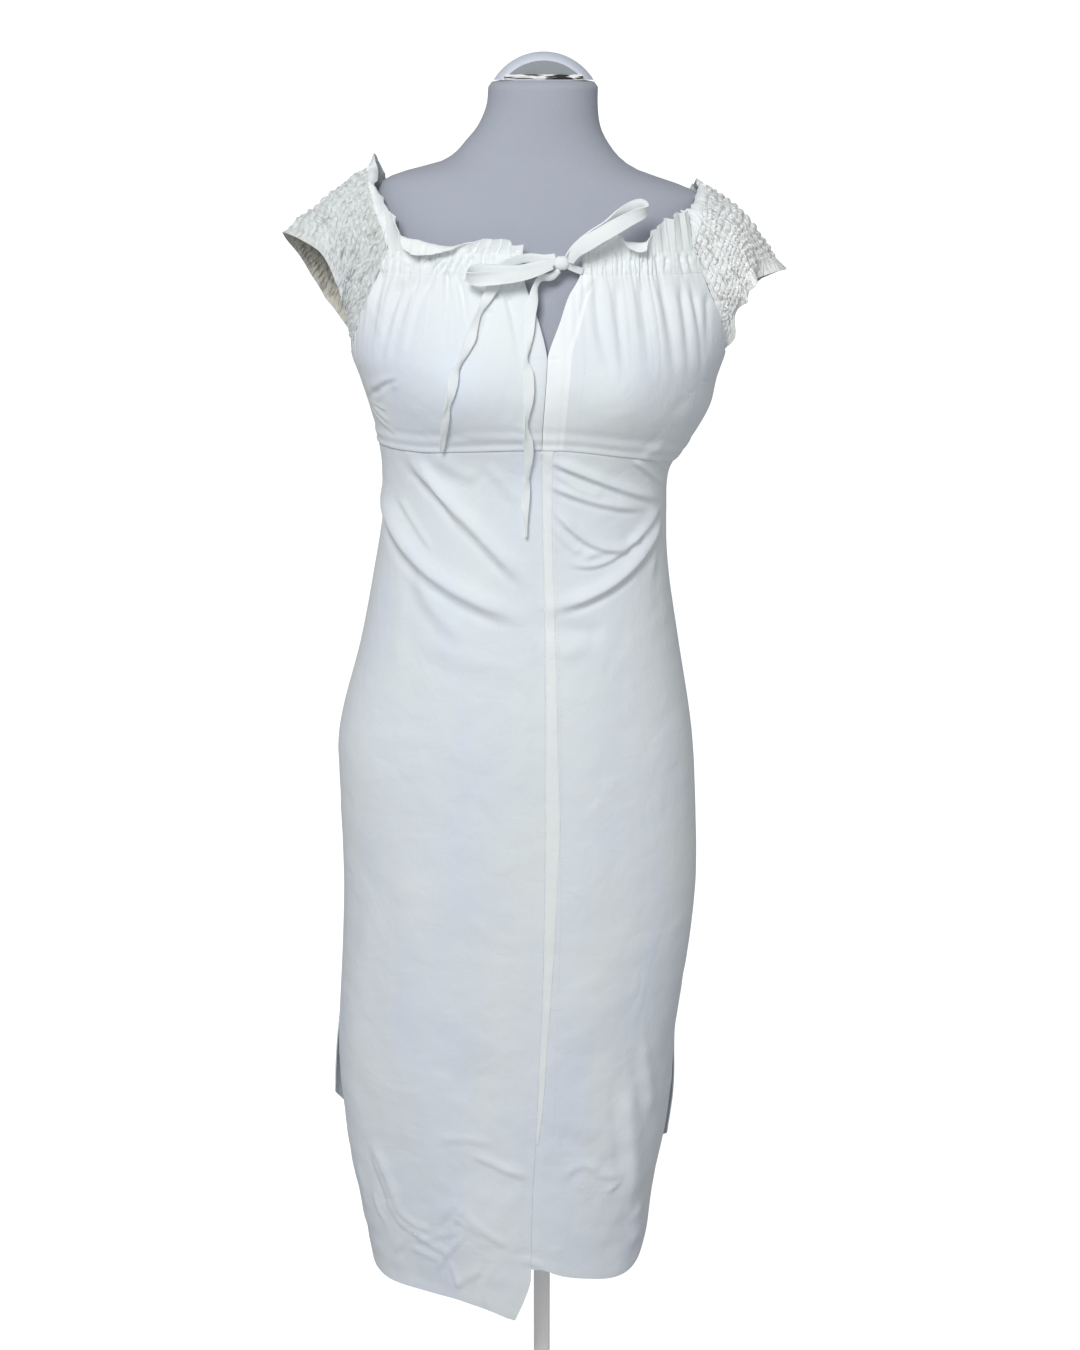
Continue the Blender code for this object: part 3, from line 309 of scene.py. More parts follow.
def front_x(side, height):
    """How far across the front a front panel's middle edge is."""
    height = np.asarray(height, float)
    opening = np.maximum(FRONT_OPENING.at(side, height), 0.0)
    opening = np.where((height >= SEAM_END) & (height <= SLIT_END), 0.0, opening)
    return FRONT_SEAM.at("middle", height) + SIGN[side] * opening


def front_edge(side, height):
    return angle_at(front_x(side, height) + SIGN[side] * SEAM / 2, height)


# %% Unevenness
def hashed(cell, seed):
    """A steady random number from 0 to 1 for each whole number."""
    value = np.sin(cell * 127.1 + seed * 311.7) * 43758.5453
    return value - np.floor(value)


def varied(spread, cell, seed):
    """A steady random factor for each cell: the least one, and the most added to it."""
    least, more = spread
    return least + more * hashed(cell, seed)


def drift(x, seed):
    """Smooth unevenness from -1 to 1 along a line."""
    cell = np.floor(x)
    start, end = hashed(cell, seed), hashed(cell + 1, seed)
    return 2 * (start + (end - start) * smooth(x - cell)) - 1


def crumple(x, y, seed):
    """Smooth unevenness from -1 to 1 over a surface."""
    row = np.floor(y)
    low, high = drift(x, seed + 7.3 * row), drift(x, seed + 7.3 * (row + 1))
    return low + (high - low) * smooth(y - row)


# %% [markdown]
# ## Folds
#
# A fold is a curve through three points of the front, seen flat. Its ridge is steeper on the
# lower side and has a shallow trough beside it, as drag folds have. A negative height makes
# a valley. A row gives each point's X and Z, the width and the height, all in millimetres,
# and the steep side's share of the width.

# %% Folds
WAIST_FOLDS = (
    (-130, 1191, -82, 1141, -8, 1064, 9, 6.6, 0.55),
    (-162, 1163, -120, 1086, -7, 1034, 11, 7.6, 0.55),
    (-143, 1151, -127, 1127, -104, 1096, 4.5, 1.6, 0.6),
    (-122, 1079, -108, 1046, -71, 1013, 10, 3, 0.7),
    (-109, 1198, -84, 1184, -60, 1174, 8, 1.8, 0.8),
    (-6, 1032, 32, 1026, 64, 1022, 10, -2.6, 1),
    (4, 1197, 59, 1172, 122, 1143, 5.8, 4.8, 0.5),
    (87, 1193, 105, 1177, 124, 1155, 4.2, 3.2, 0.5),
    (110, 1193, 119, 1183, 125, 1167, 3, 1.8, 0.6),
    (5, 1172, 50, 1153, 106, 1139, 5.8, 4.2, 0.5),
    (9, 1149, 49, 1111, 87, 1106, 5.6, 4.6, 0.5),
    (84, 1105, 103, 1121, 118, 1140, 5.8, 3, 0.6),
    (38, 1096, 60, 1102, 87, 1100, 5, 2, 0.7),
    (9, 1048, 78, 1076, 120, 1130, 8.5, 7.2, 0.5),
    (28, 1092, 67, 1094, 106, 1128, 4.6, 3, 0.5),
    (12, 1183, 36, 1166, 62, 1158, 4, 1.8, 0.6),
    (12, 1130, 24, 1112, 40, 1102, 4, 1.4, 0.6),
    (-55, 1190, -38, 1172, -22, 1150, 6, 1.2, 0.8),
    (-120, 1192, -100, 1160, -76, 1120, 5, 1.6, 0.6),
    (109, 1061, 113, 1101, 118, 1136, 4, 1.4, 0.8),
    (-110, 1016, -71, 996, -22, 989, 12, 1.2, 0.9),
    (14, 997, 32, 1009, 49, 1017, 9, 1.2, 0.9),
)
LOWER_FOLDS = (
    (-111, 479, -81, 483, -47, 478, 4, 1.5, 0.6),
    (-72, 464, -43, 453, -10, 441, 5, 3, 0.5),
    (-179, 456, -166, 425, -152, 381, 6, 3, 0.7),
    (-155, 388, -137, 376, -116, 374, 5, 2.4, 0.6),
    (-158, 334, -150, 348, -137, 367, 4, 1.8, 0.7),
    (-137, 369, -116, 355, -95, 351, 5, 1.8, 0.7),
    (-83, 397, -58, 379, -35, 364, 5, 2.1, 0.6),
    (-93, 309, -78, 324, -61, 334, 5, 2.1, 0.7),
    (-108, 385, -98, 401, -91, 414, 3.5, 1.5, 0.7),
    (-99, 373, -89, 392, -83, 408, 3.5, 1.5, 0.7),
    (68, 422, 76, 424, 86, 431, 3.5, 2.1, 0.6),
    (17, 489, 42, 475, 81, 439, 12, -1.8, 0.9),
    (87, 536, 93, 468, 96, 393, 11, 5, 0.6),
    (97, 390, 102, 367, 96, 340, 9, 3, 0.8),
    (104, 586, 111, 541, 116, 490, 7, 2.7, 0.8),
    (-121, 790, -137, 683, -136, 573, 30, 3, 1),
    (-62, 597, -68, 497, -63, 394, 26, -3.5, 1),
    (35, 823, 44, 695, 41, 574, 26, 2.5, 1),
    (-173, 732, -196, 621, -198, 531, 12, 2, 0.8),
    (-158, 380, -144, 368, -121, 364, 3.6, 2.4, 0.5),
    (-181, 443, -171, 416, -157, 374, 3.4, 2, 0.6),
    (-140, 353, -116, 364, -72, 384, 3.4, 1.7, 0.6),
    (-109, 326, -100, 347, -72, 383, 3.1, 2.2, 0.5),
    (-141, 347, -126, 343, -106, 338, 3.4, 2, 0.6),
    (-93, 392, -76, 383, -62, 373, 3.1, 1.9, 0.5),
    (-98, 339, -93, 324, -88, 307, 2.9, 1.6, 0.6),
    (-53, 289, -59, 318, -39, 349, 2.9, 1.6, 0.5),
    (-72, 313, -69, 331, -63, 345, 2.9, 1.4, 0.6),
    (-25, 346, -9, 345, 1, 336, 3.4, 2.5, 0.5),
    (23, 442, 42, 453, 65, 446, 5.2, 1.9, 0.6),
    (47, 457, 65, 439, 89, 436, 4.7, 2, 0.6),
    (-197, 424, -192, 396, -187, 366, 4.4, 1.9, 0.6),
    (-179, 400, -175, 382, -165, 365, 3.1, 1.7, 0.6),
)
BACK_FOLDS = (
    (-120, 1165, -70, 1120, 10, 1085, 11, 4.5, 0.6),
    (-130, 1110, -80, 1070, -10, 1050, 11, 4, 0.7),
    (0, 1150, 60, 1130, 115, 1150, 10, 4, 0.6),
    (20, 1085, 75, 1095, 120, 1125, 10, 3.5, 0.7),
    (-70, 800, -82, 640, -78, 460, 28, 5, 0.9),
    (20, 780, 26, 620, 18, 430, 26, -4.5, 0.9),
    (90, 760, 98, 600, 90, 470, 24, 4.5, 0.9),
    (-150, 700, -160, 600, -158, 520, 18, 3, 0.9),
)
BODICE_FOLDS = (
    (-170, 1247, -154, 1263, -136, 1271, 2.8, -3, 1),
    (-169, 1254, -151, 1268, -135, 1265, 5, 2, 0.8),
    (-168, 1245, -160, 1241, -150, 1238, 2.2, 1, 0.6),
    (-168, 1243, -160, 1234, -148, 1225, 2.6, 1.2, 0.6),
    (-169, 1239, -158, 1225, -140, 1214, 3, 1.2, 0.6),
    (126, 1238, 132, 1246, 140, 1254, 6, -0.8, 1),
    (122, 1212, 110, 1201, 95, 1194, 6, 1.2, 0.8),
    (155.8, 1266.3, 160, 1266.2, 165.7, 1264.4, 1, -0.9, 1),
    (142, 1258.3, 145.2, 1257.1, 149.4, 1256.9, 1, -0.9, 1),
    (3.7, 1294.6, 10.3, 1294.1, 18.9, 1295.5, 1.2, -0.8, 1),
    (-86, 1220, -40, 1220, -18, 1219, 4.5, 1.2, 0.8),
)
GATHER_FOLDS = (
    (-153, 1375, -160, 1347, -169, 1296, 3.4, -4.6, 1),
    (-130, 1366, -146, 1330, -157, 1270, 3.9, -4.9, 1),
    (-115, 1370, -134, 1333, -148, 1262, 4.1, -4.2, 1),
    (-102, 1370, -119, 1339, -132, 1268, 3.9, -3.8, 1),
    (-94, 1374, -90, 1353, -94, 1296, 2.8, -4.2, 1),
    (-81, 1370, -74, 1340, -68, 1280, 3.4, -4.6, 1),
    (-46, 1341, -55, 1321, -64, 1276, 4.5, -3.5, 1),
    (-35, 1357, -27, 1328, -17, 1272, 3, -2.8, 1),
    (-46, 1355, -43, 1352, -39, 1347, 2.1, -3.5, 1),
    (48, 1363, 38, 1343, 26, 1300, 3.1, -1.8, 1),
    (53, 1374, 55, 1319, 75, 1252, 4.1, -3.3, 1),
    (71, 1370, 75, 1316, 84, 1246, 4.1, -3, 1),
    (92, 1370, 98, 1325, 104, 1262, 3.9, -3.2, 1),
    (111, 1372, 123, 1318, 129, 1244, 3.9, -3.6, 1),
    (132, 1365, 139, 1315, 142, 1256, 3.4, -3.2, 1),
    (143, 1361, 152, 1317, 156, 1250, 3.1, -3, 1),
    (160, 1352, 160, 1320, 157, 1262, 3.4, -2.3, 1),
    (68, 1392.6, 73.8, 1384.2, 73.4, 1370.1, 1.5, -2.6, 1),
    (74.6, 1391.6, 78, 1383.2, 77.1, 1371.1, 1.4, -2.4, 1),
    (61.4, 1383.3, 60.5, 1377.7, 57.7, 1368.3, 1.6, -2, 1),
    (85.1, 1387, 84.7, 1379.5, 84.3, 1370.1, 1.5, -2.2, 1),
    (87.9, 1386, 89.9, 1377.6, 93.8, 1366.4, 1.4, -2.2, 1),
    (97.5, 1386, 95.7, 1375.7, 94.9, 1360.7, 1.6, -2.6, 1),
    (100.3, 1387.8, 101.3, 1382.2, 102.3, 1375.7, 1.4, -1.8, 1),
    (108, 1389.5, 111, 1376.4, 118, 1352.9, 1.8, -3, 1),
    (118.6, 1386.5, 118.7, 1380, 117.8, 1373.4, 1.6, -2.2, 1),
    (132.3, 1390.6, 135, 1376.5, 139.4, 1361.4, 1.8, -2.6, 1),
    (140.4, 1389.1, 142.5, 1377.8, 146.6, 1364.5, 1.6, -2.2, 1),
    (-134, 1389.2, -136, 1382.6, -139, 1375.1, 1.3, -1.8, 1),
    (-148.8, 1388.6, -150.8, 1383.9, -153.8, 1378.3, 1.3, -1.8, 1),
    (-141.9, 1387, -144.9, 1381.4, -147.9, 1372.9, 1.4, -2, 1),
    (-121.4, 1388.6, -123.9, 1380.2, -125.5, 1369.9, 1.4, -2.2, 1),
    (-103.2, 1390.8, -111.9, 1380.5, -114.8, 1372.1, 1.4, -2.2, 1),
    (-92.8, 1385.3, -103.4, 1374, -105.4, 1360.9, 1.5, -3, 1),
    (-89.1, 1383.4, -94.8, 1375.9, -98.7, 1368.4, 1.3, -2.2, 1),
    (-82.4, 1386.2, -87.5, 1375.9, -92.1, 1364.7, 1.5, -2.4, 1),
    (-72.9, 1389, -81.6, 1374, -83.3, 1360.9, 1.5, -2.8, 1),
    (-64.4, 1389, -70.1, 1381.5, -74, 1372.2, 1.4, -2, 1),
)
FOLD_STEPS = 24
FOLD_REACH = 4
FOLD_FADE = 0.22
TAPER_SHARE = 0.85
SLOPE_SHARE = 0.15
TROUGH = 0.22
TROUGH_PLACE = 2.1
TROUGH_WIDTH = 0.8


def fold_lift(rows, x, height, fade=FOLD_FADE):
    """How far these folds lift the cloth at each point; fade is the share of its end."""
    total = np.zeros_like(x)
    for row in np.array(rows):
        start, middle, end = row[:6].reshape(3, 2) / MM
        wide, lift = row[6:8] / MM
        bend = 2 * middle - (start + end) / 2
        t = np.linspace(0, 1, FOLD_STEPS + 1)[:, None]
        line = (1 - t) ** 2 * start + 2 * t * (1 - t) * bend + t * t * end
        low, high = line.min(axis=0) - FOLD_REACH * wide, line.max(axis=0) + FOLD_REACH * wide
        near = (x > low[0]) & (x < high[0]) & (height > low[1]) & (height < high[1])
        if not near.any():
            continue
        point = np.stack([x[near], height[near]], axis=-1)
        best = np.full(len(point), np.inf)
        side = np.zeros(len(point))
        along = np.zeros(len(point))
        for i in range(FOLD_STEPS):
            step = line[i + 1] - line[i]
            share = np.clip((point - line[i]) @ step / (step @ step), 0, 1)
            away = point - line[i] - share[:, None] * step
            distance = np.hypot(away[:, 0], away[:, 1])
            closer = distance < best
            best = np.where(closer, distance, best)
            side = np.where(closer, np.sign(away[:, 0] * step[1] - away[:, 1] * step[0]), side)
            along = np.where(closer, (i + share) / FOLD_STEPS, along)
        width = np.where(side > 0, wide * row[8], wide)
        taper = smooth(along / FOLD_FADE) * smooth((1 - along) / fade)
        taper = taper * TAPER_SHARE + SLOPE_SHARE * (1 - along)
        trough = TROUGH * bell(best - TROUGH_PLACE * width, TROUGH_WIDTH * width) * (side > 0)
        total[near] += lift * taper * (bell(best, width) - trough)
    return total


# %% [markdown]
# ## Gathers
#
# Under the casing the cloth falls in uneven gathers with fine pleats between them. A fold
# line drifts sideways as it goes down, so that the gathers fan out over the bust. Each part
# has its number of gathers (half the back's), their lift, how flat they fall away from the
# middle, and how far down they reach.

# %% Gathers
GATHERS = {
    "left": (12, 0.0030, 0.25, 0.085),
    "right": (14, 0.0018, 0.85, 0.120),
    "back": (8, 0.0044, 0.0, 0.085),
}
PLEAT_LIFT = 0.0019
PLEAT_REACH = 0.022
PLEATS_PER_GATHER = 2.15
RIDGE_LEVEL = 0.6
FLAT_FROM = 0.48
FLAT_OVER = 0.14
RAGLAN_FROM = 0.95
RAGLAN_OVER = 0.1
RAGLAN_SHORTER = 0.3
RAGLAN_LOWER = 0.55
GATHER_REACH = (0.40, 0.75)
GATHER_STRENGTH = (0.40, 0.80)
PLEAT_SPREAD = (0.5, 1.3)
PLEAT_STRENGTH = (0.35, 0.8)
GATHER_DRIFT = Table(
    "share left right",
    (0, 0, 0.02), (0.2, -0.04, 0.1), (0.35, -0.04, 0.08), (0.5, 0.02, 0.12), (0.65, 0.13, 0.14),
    (0.8, 0.2, 0.2), (1, 0.15, 0.2),
)
RAGLAN_HEIGHTS = np.linspace(UNDERARM, CASING_BOTTOM, 60)


def bodice_top(angle):
    """Height of a bodice panel's top edge: the casing, the raglan seam, then the underarm."""
    size = np.abs(wrapped(angle))
    front = RAGLAN.at("front", RAGLAN_HEIGHTS)
    back = RAGLAN.at("back", RAGLAN_HEIGHTS)
    return np.where(
        size <= SIDE,
        np.interp(size, front[::-1], RAGLAN_HEIGHTS[::-1]),
        np.interp(size, back, RAGLAN_HEIGHTS),
    )


def gather_share(angle, height):
    """Where each point's gather starts along the casing, from 0 at the middle to 1, by stretch."""
    share = np.zeros_like(angle)
    down = CASING_BOTTOM - height
    for side, sign in SIGN.items():
        on = (np.abs(angle) <= SIDE) & (np.sign(angle - angle_at(0.005, height)) == sign)
        first = abs(float(front_edge(side, CASING_BOTTOM)))
        last = float(RAGLAN.at("front", CASING_BOTTOM))
        here = (sign * angle - first) / (last - first)
        fan = GATHER_DRIFT.at(side, here) * np.clip(down / 0.1, 0, 1.2)
        share = np.where(on, here - fan, share)
    behind = np.abs(angle) > SIDE
    last = float(RAGLAN.at("back", CASING_BOTTOM))
    return np.where(behind, (BACK - np.abs(angle)) / (BACK - last), share)


def ridges(position, seed):
    """Soft ridges with sharper valleys at uneven distances, and each ridge's own number."""
    position = position + 0.33 * drift(1.3 * position + 5, seed)
    cell = np.floor(position + 0.5)
    return np.abs(np.cos(math.pi * (position - cell))) ** 0.8, cell


def gather_lift(angle, height):
    """How far the gathers and their pleats lift the bodice and its casing."""
    share = gather_share(angle, height)
    down = bodice_top(angle) - height
    raglan = smooth((share - RAGLAN_FROM) / RAGLAN_OVER)
    front = np.abs(angle) <= SIDE
    places = (front & (angle <= 0), front & (angle > 0), ~front)
    total = np.zeros_like(angle)
    for number, (part, on) in enumerate(zip(GATHERS, places)):
        count, lift, flatness, longest = GATHERS[part]
        flat = flatness * smooth((share - FLAT_FROM) / FLAT_OVER)
        seed = number * 10 + 3
        main, cell = ridges(share * count, seed)
        reach = longest * varied(GATHER_REACH, cell, seed + 1)
        reach = reach * (1 - RAGLAN_SHORTER * raglan)
        strength = varied(GATHER_STRENGTH, cell, seed + 2)
        fading = (1 - np.clip(down / reach, 0, 1)) ** 1.3
        gathers = lift * strength * (main - RIDGE_LEVEL) * fading
        gathers = gathers * (1 - RAGLAN_LOWER * raglan)
        fine, fine_cell = ridges(share * count * PLEATS_PER_GATHER + 0.3, seed + 4)
        fine_reach = PLEAT_REACH * varied(PLEAT_SPREAD, fine_cell, seed + 5)
        fine_fading = (1 - np.clip(down / fine_reach, 0, 1)) ** 1.1
        pleats = PLEAT_LIFT * varied(PLEAT_STRENGTH, fine_cell, seed + 6) * (fine - RIDGE_LEVEL)
        gathers = gathers + pleats * fine_fading * (1 - 0.5 * raglan)
        total = np.where(on, gathers * (1 - flat), total)
    edge = np.minimum(np.abs(np.abs(angle) - SIDE) / 4, 1.0)
    return total * np.where(height < UNDERARM, smooth(edge), 1.0)


def valley_lift(angle, height):
    """The crisp valleys that run from the ruffle through the casing into the fronts."""
    valleys = fold_lift(GATHER_FOLDS, skin(angle, height)[..., 0], height, fade=0.8)
    front = smooth((SIDE - np.abs(angle)) / 8) * smooth((height - BUST_HEIGHT) / 0.02)
    return valleys * front


# %% [markdown]
# ## Cloth pieces
#
# A piece of cloth is a fine grid laid on the surface, thickened inwards. Its UV map is in
# metres, and its flat area is measured before it is thickened.

# %% Making a sheet
PIECES = {}


def clean_selection():
    bpy.ops.object.select_all(action="DESELECT")


def read(items, name, size=3):
    """One property of each of a mesh's elements, a row for each."""
    values = np.empty(len(items) * size)
    items.foreach_get(name, values)
    return values.reshape(-1, size)


def even(v):
    return v


def cloth(node, place, columns, rows, thickness=CLOTH, kind="cloth", spacing=even):
    """A sheet through place(u, v), with u across and v down, that stands for a solid."""
    clean_selection()
    bpy.ops.mesh.primitive_grid_add(x_subdivisions=columns, y_subdivisions=rows, size=1)
    piece = bpy.context.object
    piece.name = f"{node}_{kind}"
    PIECES[node] = piece
    mesh = piece.data
    flat = read(mesh.vertices, "co")
    u, v = flat[:, 0] + 0.5, spacing(0.5 - flat[:, 1])
    points = place(u, v)
    mesh.vertices.foreach_set("co", points.ravel())
    mesh.update()
    centres = read(mesh.polygons, "center")
    away = centres - np.array((0, 0, centres[:, 2].mean() - 0.02))
    if (read(mesh.polygons, "normal") * away).sum() < 0:
        mesh.flip_normals()
    area = read(mesh.polygons, "area", 1).sum()
    grid = points[np.lexsort((u, v))].reshape(rows + 1, columns + 1, 3)
    wide = np.linalg.norm(np.diff(grid, axis=1), axis=-1).sum(axis=1).mean()
    long = np.linalg.norm(np.diff(grid, axis=0), axis=-1).sum(axis=0).mean()
    scale_uv(mesh, wide, long, spacing)
    thicken(piece, thickness)
    print(f"{piece.name}: {wide:.3f} x {long:.3f} m, {area:.4f} m2")
    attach(piece, "root")
    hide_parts(node)
    return piece


def scale_uv(mesh, wide, long, spacing):
    layer = mesh.uv_layers.active.data
    values = read(layer, "uv", 2)
    values[:, 1] = 1 - spacing(1 - values[:, 1])
    layer.foreach_set("uv", (values * (wide, long)).ravel())


def thicken(piece, thickness):
    shell = piece.modifiers.new("shell", "SOLIDIFY")
    shell.thickness = thickness
    shell.offset = -1
    bpy.ops.object.modifier_apply(modifier=shell.name)
    bpy.ops.object.shade_smooth_by_angle(angle=math.radians(60))


# %% [markdown]
# ## Skirt
#
# Two front panels meet at the middle seam and open at the hem. The back panel is wider low
# down, where the side seams are open.

# %% Skirt
HEM_BAND = 0.009
HEM_STEP = 0.0004
UNDERLAP = 0.22
FLUTTER = 0.0022
SKIRT_SOFT = 0.0009
SKIRT_FINE = 0.0003
HEM_FINE = 0.0005
SEAM_GROOVE = {"left": 0.0004, "right": 0.0018}
PRESSED_GROOVE = 0.0007
WAIST_TURN = 0.0035
WAIST_TURN_DEPTH = 0.0011
WAIST_SHARE = 0.24
WAIST_ROWS_SHARE = 0.42


def skirt_lift(angle, height, hem):
    angle = wrapped(angle)
    x = skin(angle, height)[..., 0]
    near_side = smooth(np.abs(np.abs(angle) - SIDE) / 6)
    folds = np.where(
        np.abs(angle) <= SIDE,
        fold_lift(WAIST_FOLDS, x, height) + fold_lift(LOWER_FOLDS, x, height),
        fold_lift(BACK_FOLDS, x, height),
    )
    low = smooth((0.66 - height) / 0.35)
    flutter = FLUTTER * low * np.sin(np.radians(angle) * 6.5 + 5 * height + 0.8)
    soft = SKIRT_SOFT * crumple(x * 22, height * 13, 3)
    fine = crumple(x * 55 + height * 20, height * 60 - x * 30, 8)
    soft = soft + (SKIRT_FINE + HEM_FINE * low) * fine
    band = HEM_STEP * smooth((HEM_BAND - (height - hem)) / 0.0015)
    return folds * near_side + flutter * near_side + soft * near_side + band


def skirt_front_point(side):
    middle_hem = float(HEMS[side].at("height", 0))
    middle_top = float(UNDERBUST.at("height", 0))

    def place(u, v, lift=0.0):
        guide = middle_top + v * (middle_hem - middle_top)
        start = front_edge(side, guide) - (UNDERLAP if side == "right" else 0)
        angle = start + u * (SIGN[side] * (SIDE - SIDE_GAP) - start)
        hem = HEMS[side].at("height", angle)
        top = UNDERBUST.at("height", angle) - SEAM / 2
        height = top + v * (hem - top)
        distance = u * 0.2
        groove = -SEAM_GROOVE[side] * bell(distance, 0.0010 if side == "left" else 0.0014)
        if side == "left":
            groove = groove - PRESSED_GROOVE * bell(distance - 0.0030, 0.0020)
        under = -WAIST_TURN_DEPTH * smooth((WAIST_TURN - (top - height)) / WAIST_TURN)
        return dress(angle, height, skirt_lift(angle, height, hem) + groove + under + lift)

    return place


def skirt_back_place(u, v):
    angle = SIDE + SIDE_GAP + u * (BACK - 2 * SIDE_GAP)
    hem = HEMS["back"].at("height", angle)
    top = UNDERBUST.at("height", wrapped(angle)) - SEAM / 2
    height = top + v * (hem - top)
    return dress(wrapped(angle), height, skirt_lift(angle, height, hem))


def closer_at_waist(v):
    """Rows closer together at the waist, where the drag folds are narrow."""
    waist = WAIST_SHARE * v / WAIST_ROWS_SHARE
    below = WAIST_SHARE + (1 - WAIST_SHARE) * (v - WAIST_ROWS_SHARE) / (1 - WAIST_ROWS_SHARE)
    return np.where(v < WAIST_ROWS_SHARE, waist, below)


for side, columns in (("left", 120), ("right", 116)):
    place = skirt_front_point(side)
    cloth(f"skirt_front_{side}", place, columns, 300, spacing=closer_at_waist)
cloth("skirt_back", skirt_back_place, 120, 150)

# %% [markdown]
# A narrow facing lies on the right front panel beside the middle seam, and narrows as it
# goes down.

# %% Facing tape
TAPE_LIFT = 0.0009
TAPE_LENGTH = 0.836
TAPE_WIDE = 0.0345
TAPE_SPREAD = 0.30
TAPE_NARROWEST = 0.14
TAPE_UNEVEN = 0.0003
TAPE_THICKNESS = 0.0004


def tape_place(u, v):
    down = v * TAPE_LENGTH
    narrow = np.clip(TAPE_NARROWEST + (TAPE_LENGTH - down) * 2.2, TAPE_NARROWEST, 1.0)
    narrow = narrow * (1 + 0.05 * drift(down * 24, 27))
    edge = smooth(np.minimum(u, 1 - u) / 0.12)
    wider = 1 + TAPE_SPREAD * smooth(down / 0.45)
    across = TAPE_WIDE * wider * (0.03 + 0.97 * u * narrow)
    uneven = TAPE_UNEVEN * crumple(down * 60, u * 2, 28)
    return skirt_front_point("right")(across, down, TAPE_LIFT * (0.45 + 0.55 * edge) + uneven)


cloth("front_tape", tape_place, 10, 200, thickness=TAPE_THICKNESS)

# %% [markdown]
# ## Bodice
#
# The fronts are gathered into the casing and open in a slit with a narrow facing. Their lower
# edge overlaps the skirt as a fine ledge.

# %% Bodice
LEDGE = 0.0012
PRESSED_RIDGE = 0.0007
PRESSED_VALLEY = 0.0006
FACING_WIDTH = 0.016
FACING_STEP = 0.0005
TUCK = 0.0005
EDGE_ROLL = 0.0007
OVERLAP = 0.0010
BODICE_SOFT = 0.0005


def seam_ledge(above):
    """The lower edge of the bodice, with the soft crease that the seam's turnings press up."""
    return (
        LEDGE * bell(above, 0.0022)
        + PRESSED_RIDGE * bell(above - 0.0095, 0.0035)
        - PRESSED_VALLEY * bell(above - 0.0165, 0.0045)
    )


def bodice_lift(angle, height):
    angle = wrapped(angle)
    x = skin(angle, height)[..., 0]
    near_side = smooth(np.abs(np.abs(angle) - SIDE) / 6)
    folds = np.where(np.abs(angle) <= SIDE, fold_lift(BODICE_FOLDS, x, height), 0.0)
    soft = BODICE_SOFT * crumple(x * 35, height * 25, 12)
    above = height - UNDERBUST.at("height", angle)
    gathers = gather_lift(angle, height) + valley_lift(angle, height)
    return gathers + (folds + soft) * near_side + seam_ledge(above)


def bodice_front_place(side):
    sign = SIGN[side]
    edge = SIDE - SIDE_GAP

    def place(u, v):
        seam = float(UNDERBUST.at("height", 0))
        guide = CASING_BOTTOM + v * (seam - CASING_BOTTOM)
        start = sign * front_edge(side, guide)
        angle = sign * (start + u * (edge - start))
        bottom = UNDERBUST.at("height", angle) - OVERLAP
        top = bodice_top(angle) + TUCK * smooth((SIDE - np.abs(angle)) / 30)
        height = top + v * (bottom - top)
        across = np.abs(skin(angle, height)[..., 0] - front_x(side, guide))
        facing = FACING_STEP * smooth((FACING_WIDTH - across) / 0.0012)
        roll = -EDGE_ROLL * bell(across, 0.0011)
        roll = roll - TUCK * smooth((height - bodice_top(angle)) / TUCK + 0.5)
        if side == "left":
            facing = np.where(height > SLIT_END, facing, 0.0)
        return dress(angle, height, bodice_lift(angle, height) + facing + roll)

    return place


def bodice_back_place(u, v):
    angle = SIDE + SIDE_GAP + u * (BACK - 2 * SIDE_GAP)
    bottom = UNDERBUST.at("height", wrapped(angle)) - OVERLAP
    top = bodice_top(angle) - SEAM
    height = top + v * (bottom - top)
    return dress(wrapped(angle), height, bodice_lift(angle, height))


for side in SIGN:
    cloth(f"bodice_front_{side}", bodice_front_place(side), 220, 104)
cloth("bodice_back", bodice_back_place, 180, 60)

# %% [markdown]
# ## Casing and neck ruffle
#
# The casing is a puffed channel, crinkled by the tie inside it. The ruffle above it stands up,
# leans or rolls forward, as the table says for each stretch.

# %% Casing
CASING_PUFF = 0.0006
CASING_CREASE = 0.0003
CASING_CRINKLE = 0.0006
RAGLAN_GAP = 0.10
RAGLAN_DEPTH = 0.0003


def casing_span(part, height):
    if part == "back":
        edge = RAGLAN.at("back", height)
        return edge + RAGLAN_GAP, 360 - edge - RAGLAN_GAP
    return front_edge(part, height), SIGN[part] * (RAGLAN.at("front", height) - RAGLAN_GAP)


def casing_lift(angle, height):
    angle = wrapped(angle)
    share = np.clip((CASING_TOP - height) / (CASING_TOP - CASING_BOTTOM), 0, 1)
    puff = np.sin(math.pi * share)
    height = np.broadcast_to(height, angle.shape)
    pleats = gather_lift(angle, np.full_like(angle, CASING_BOTTOM)) + valley_lift(angle, height)
    crinkle = CASING_CRINKLE * crumple(angle * 0.9, height * 260, 21) * puff
    seam = CASING_CREASE * bell(height - CASING_BOTTOM, 0.0012)
    seam = seam * (1 + drift(angle * 0.35, 23)) / 2
    return pleats + CASING_PUFF * puff * (1 + 0.4 * drift(angle * 0.2, 24)) + crinkle - seam


def casing_place(part):
    def place(u, v):
        height = CASING_TOP - v * (CASING_TOP - CASING_BOTTOM)
        start, end = casing_span(part, height)
        angle = start + u * (end - start)
        return dress(wrapped(angle), height, casing_lift(angle, height))

    return place


for part, columns, rows in (("left", 240, 20), ("right", 240, 20), ("back", 180, 10)):
    cloth(f"neck_casing_{part}", casing_place(part), columns, rows)

# %% [markdown]
# A ruffle's table gives, by the share of its length, how high it is half way up and at its
# edge, how far out the edge is, how far it leans aside for its rise, and the depth of its
# pleats and waves. Lengths are in tenths of a millimetre.

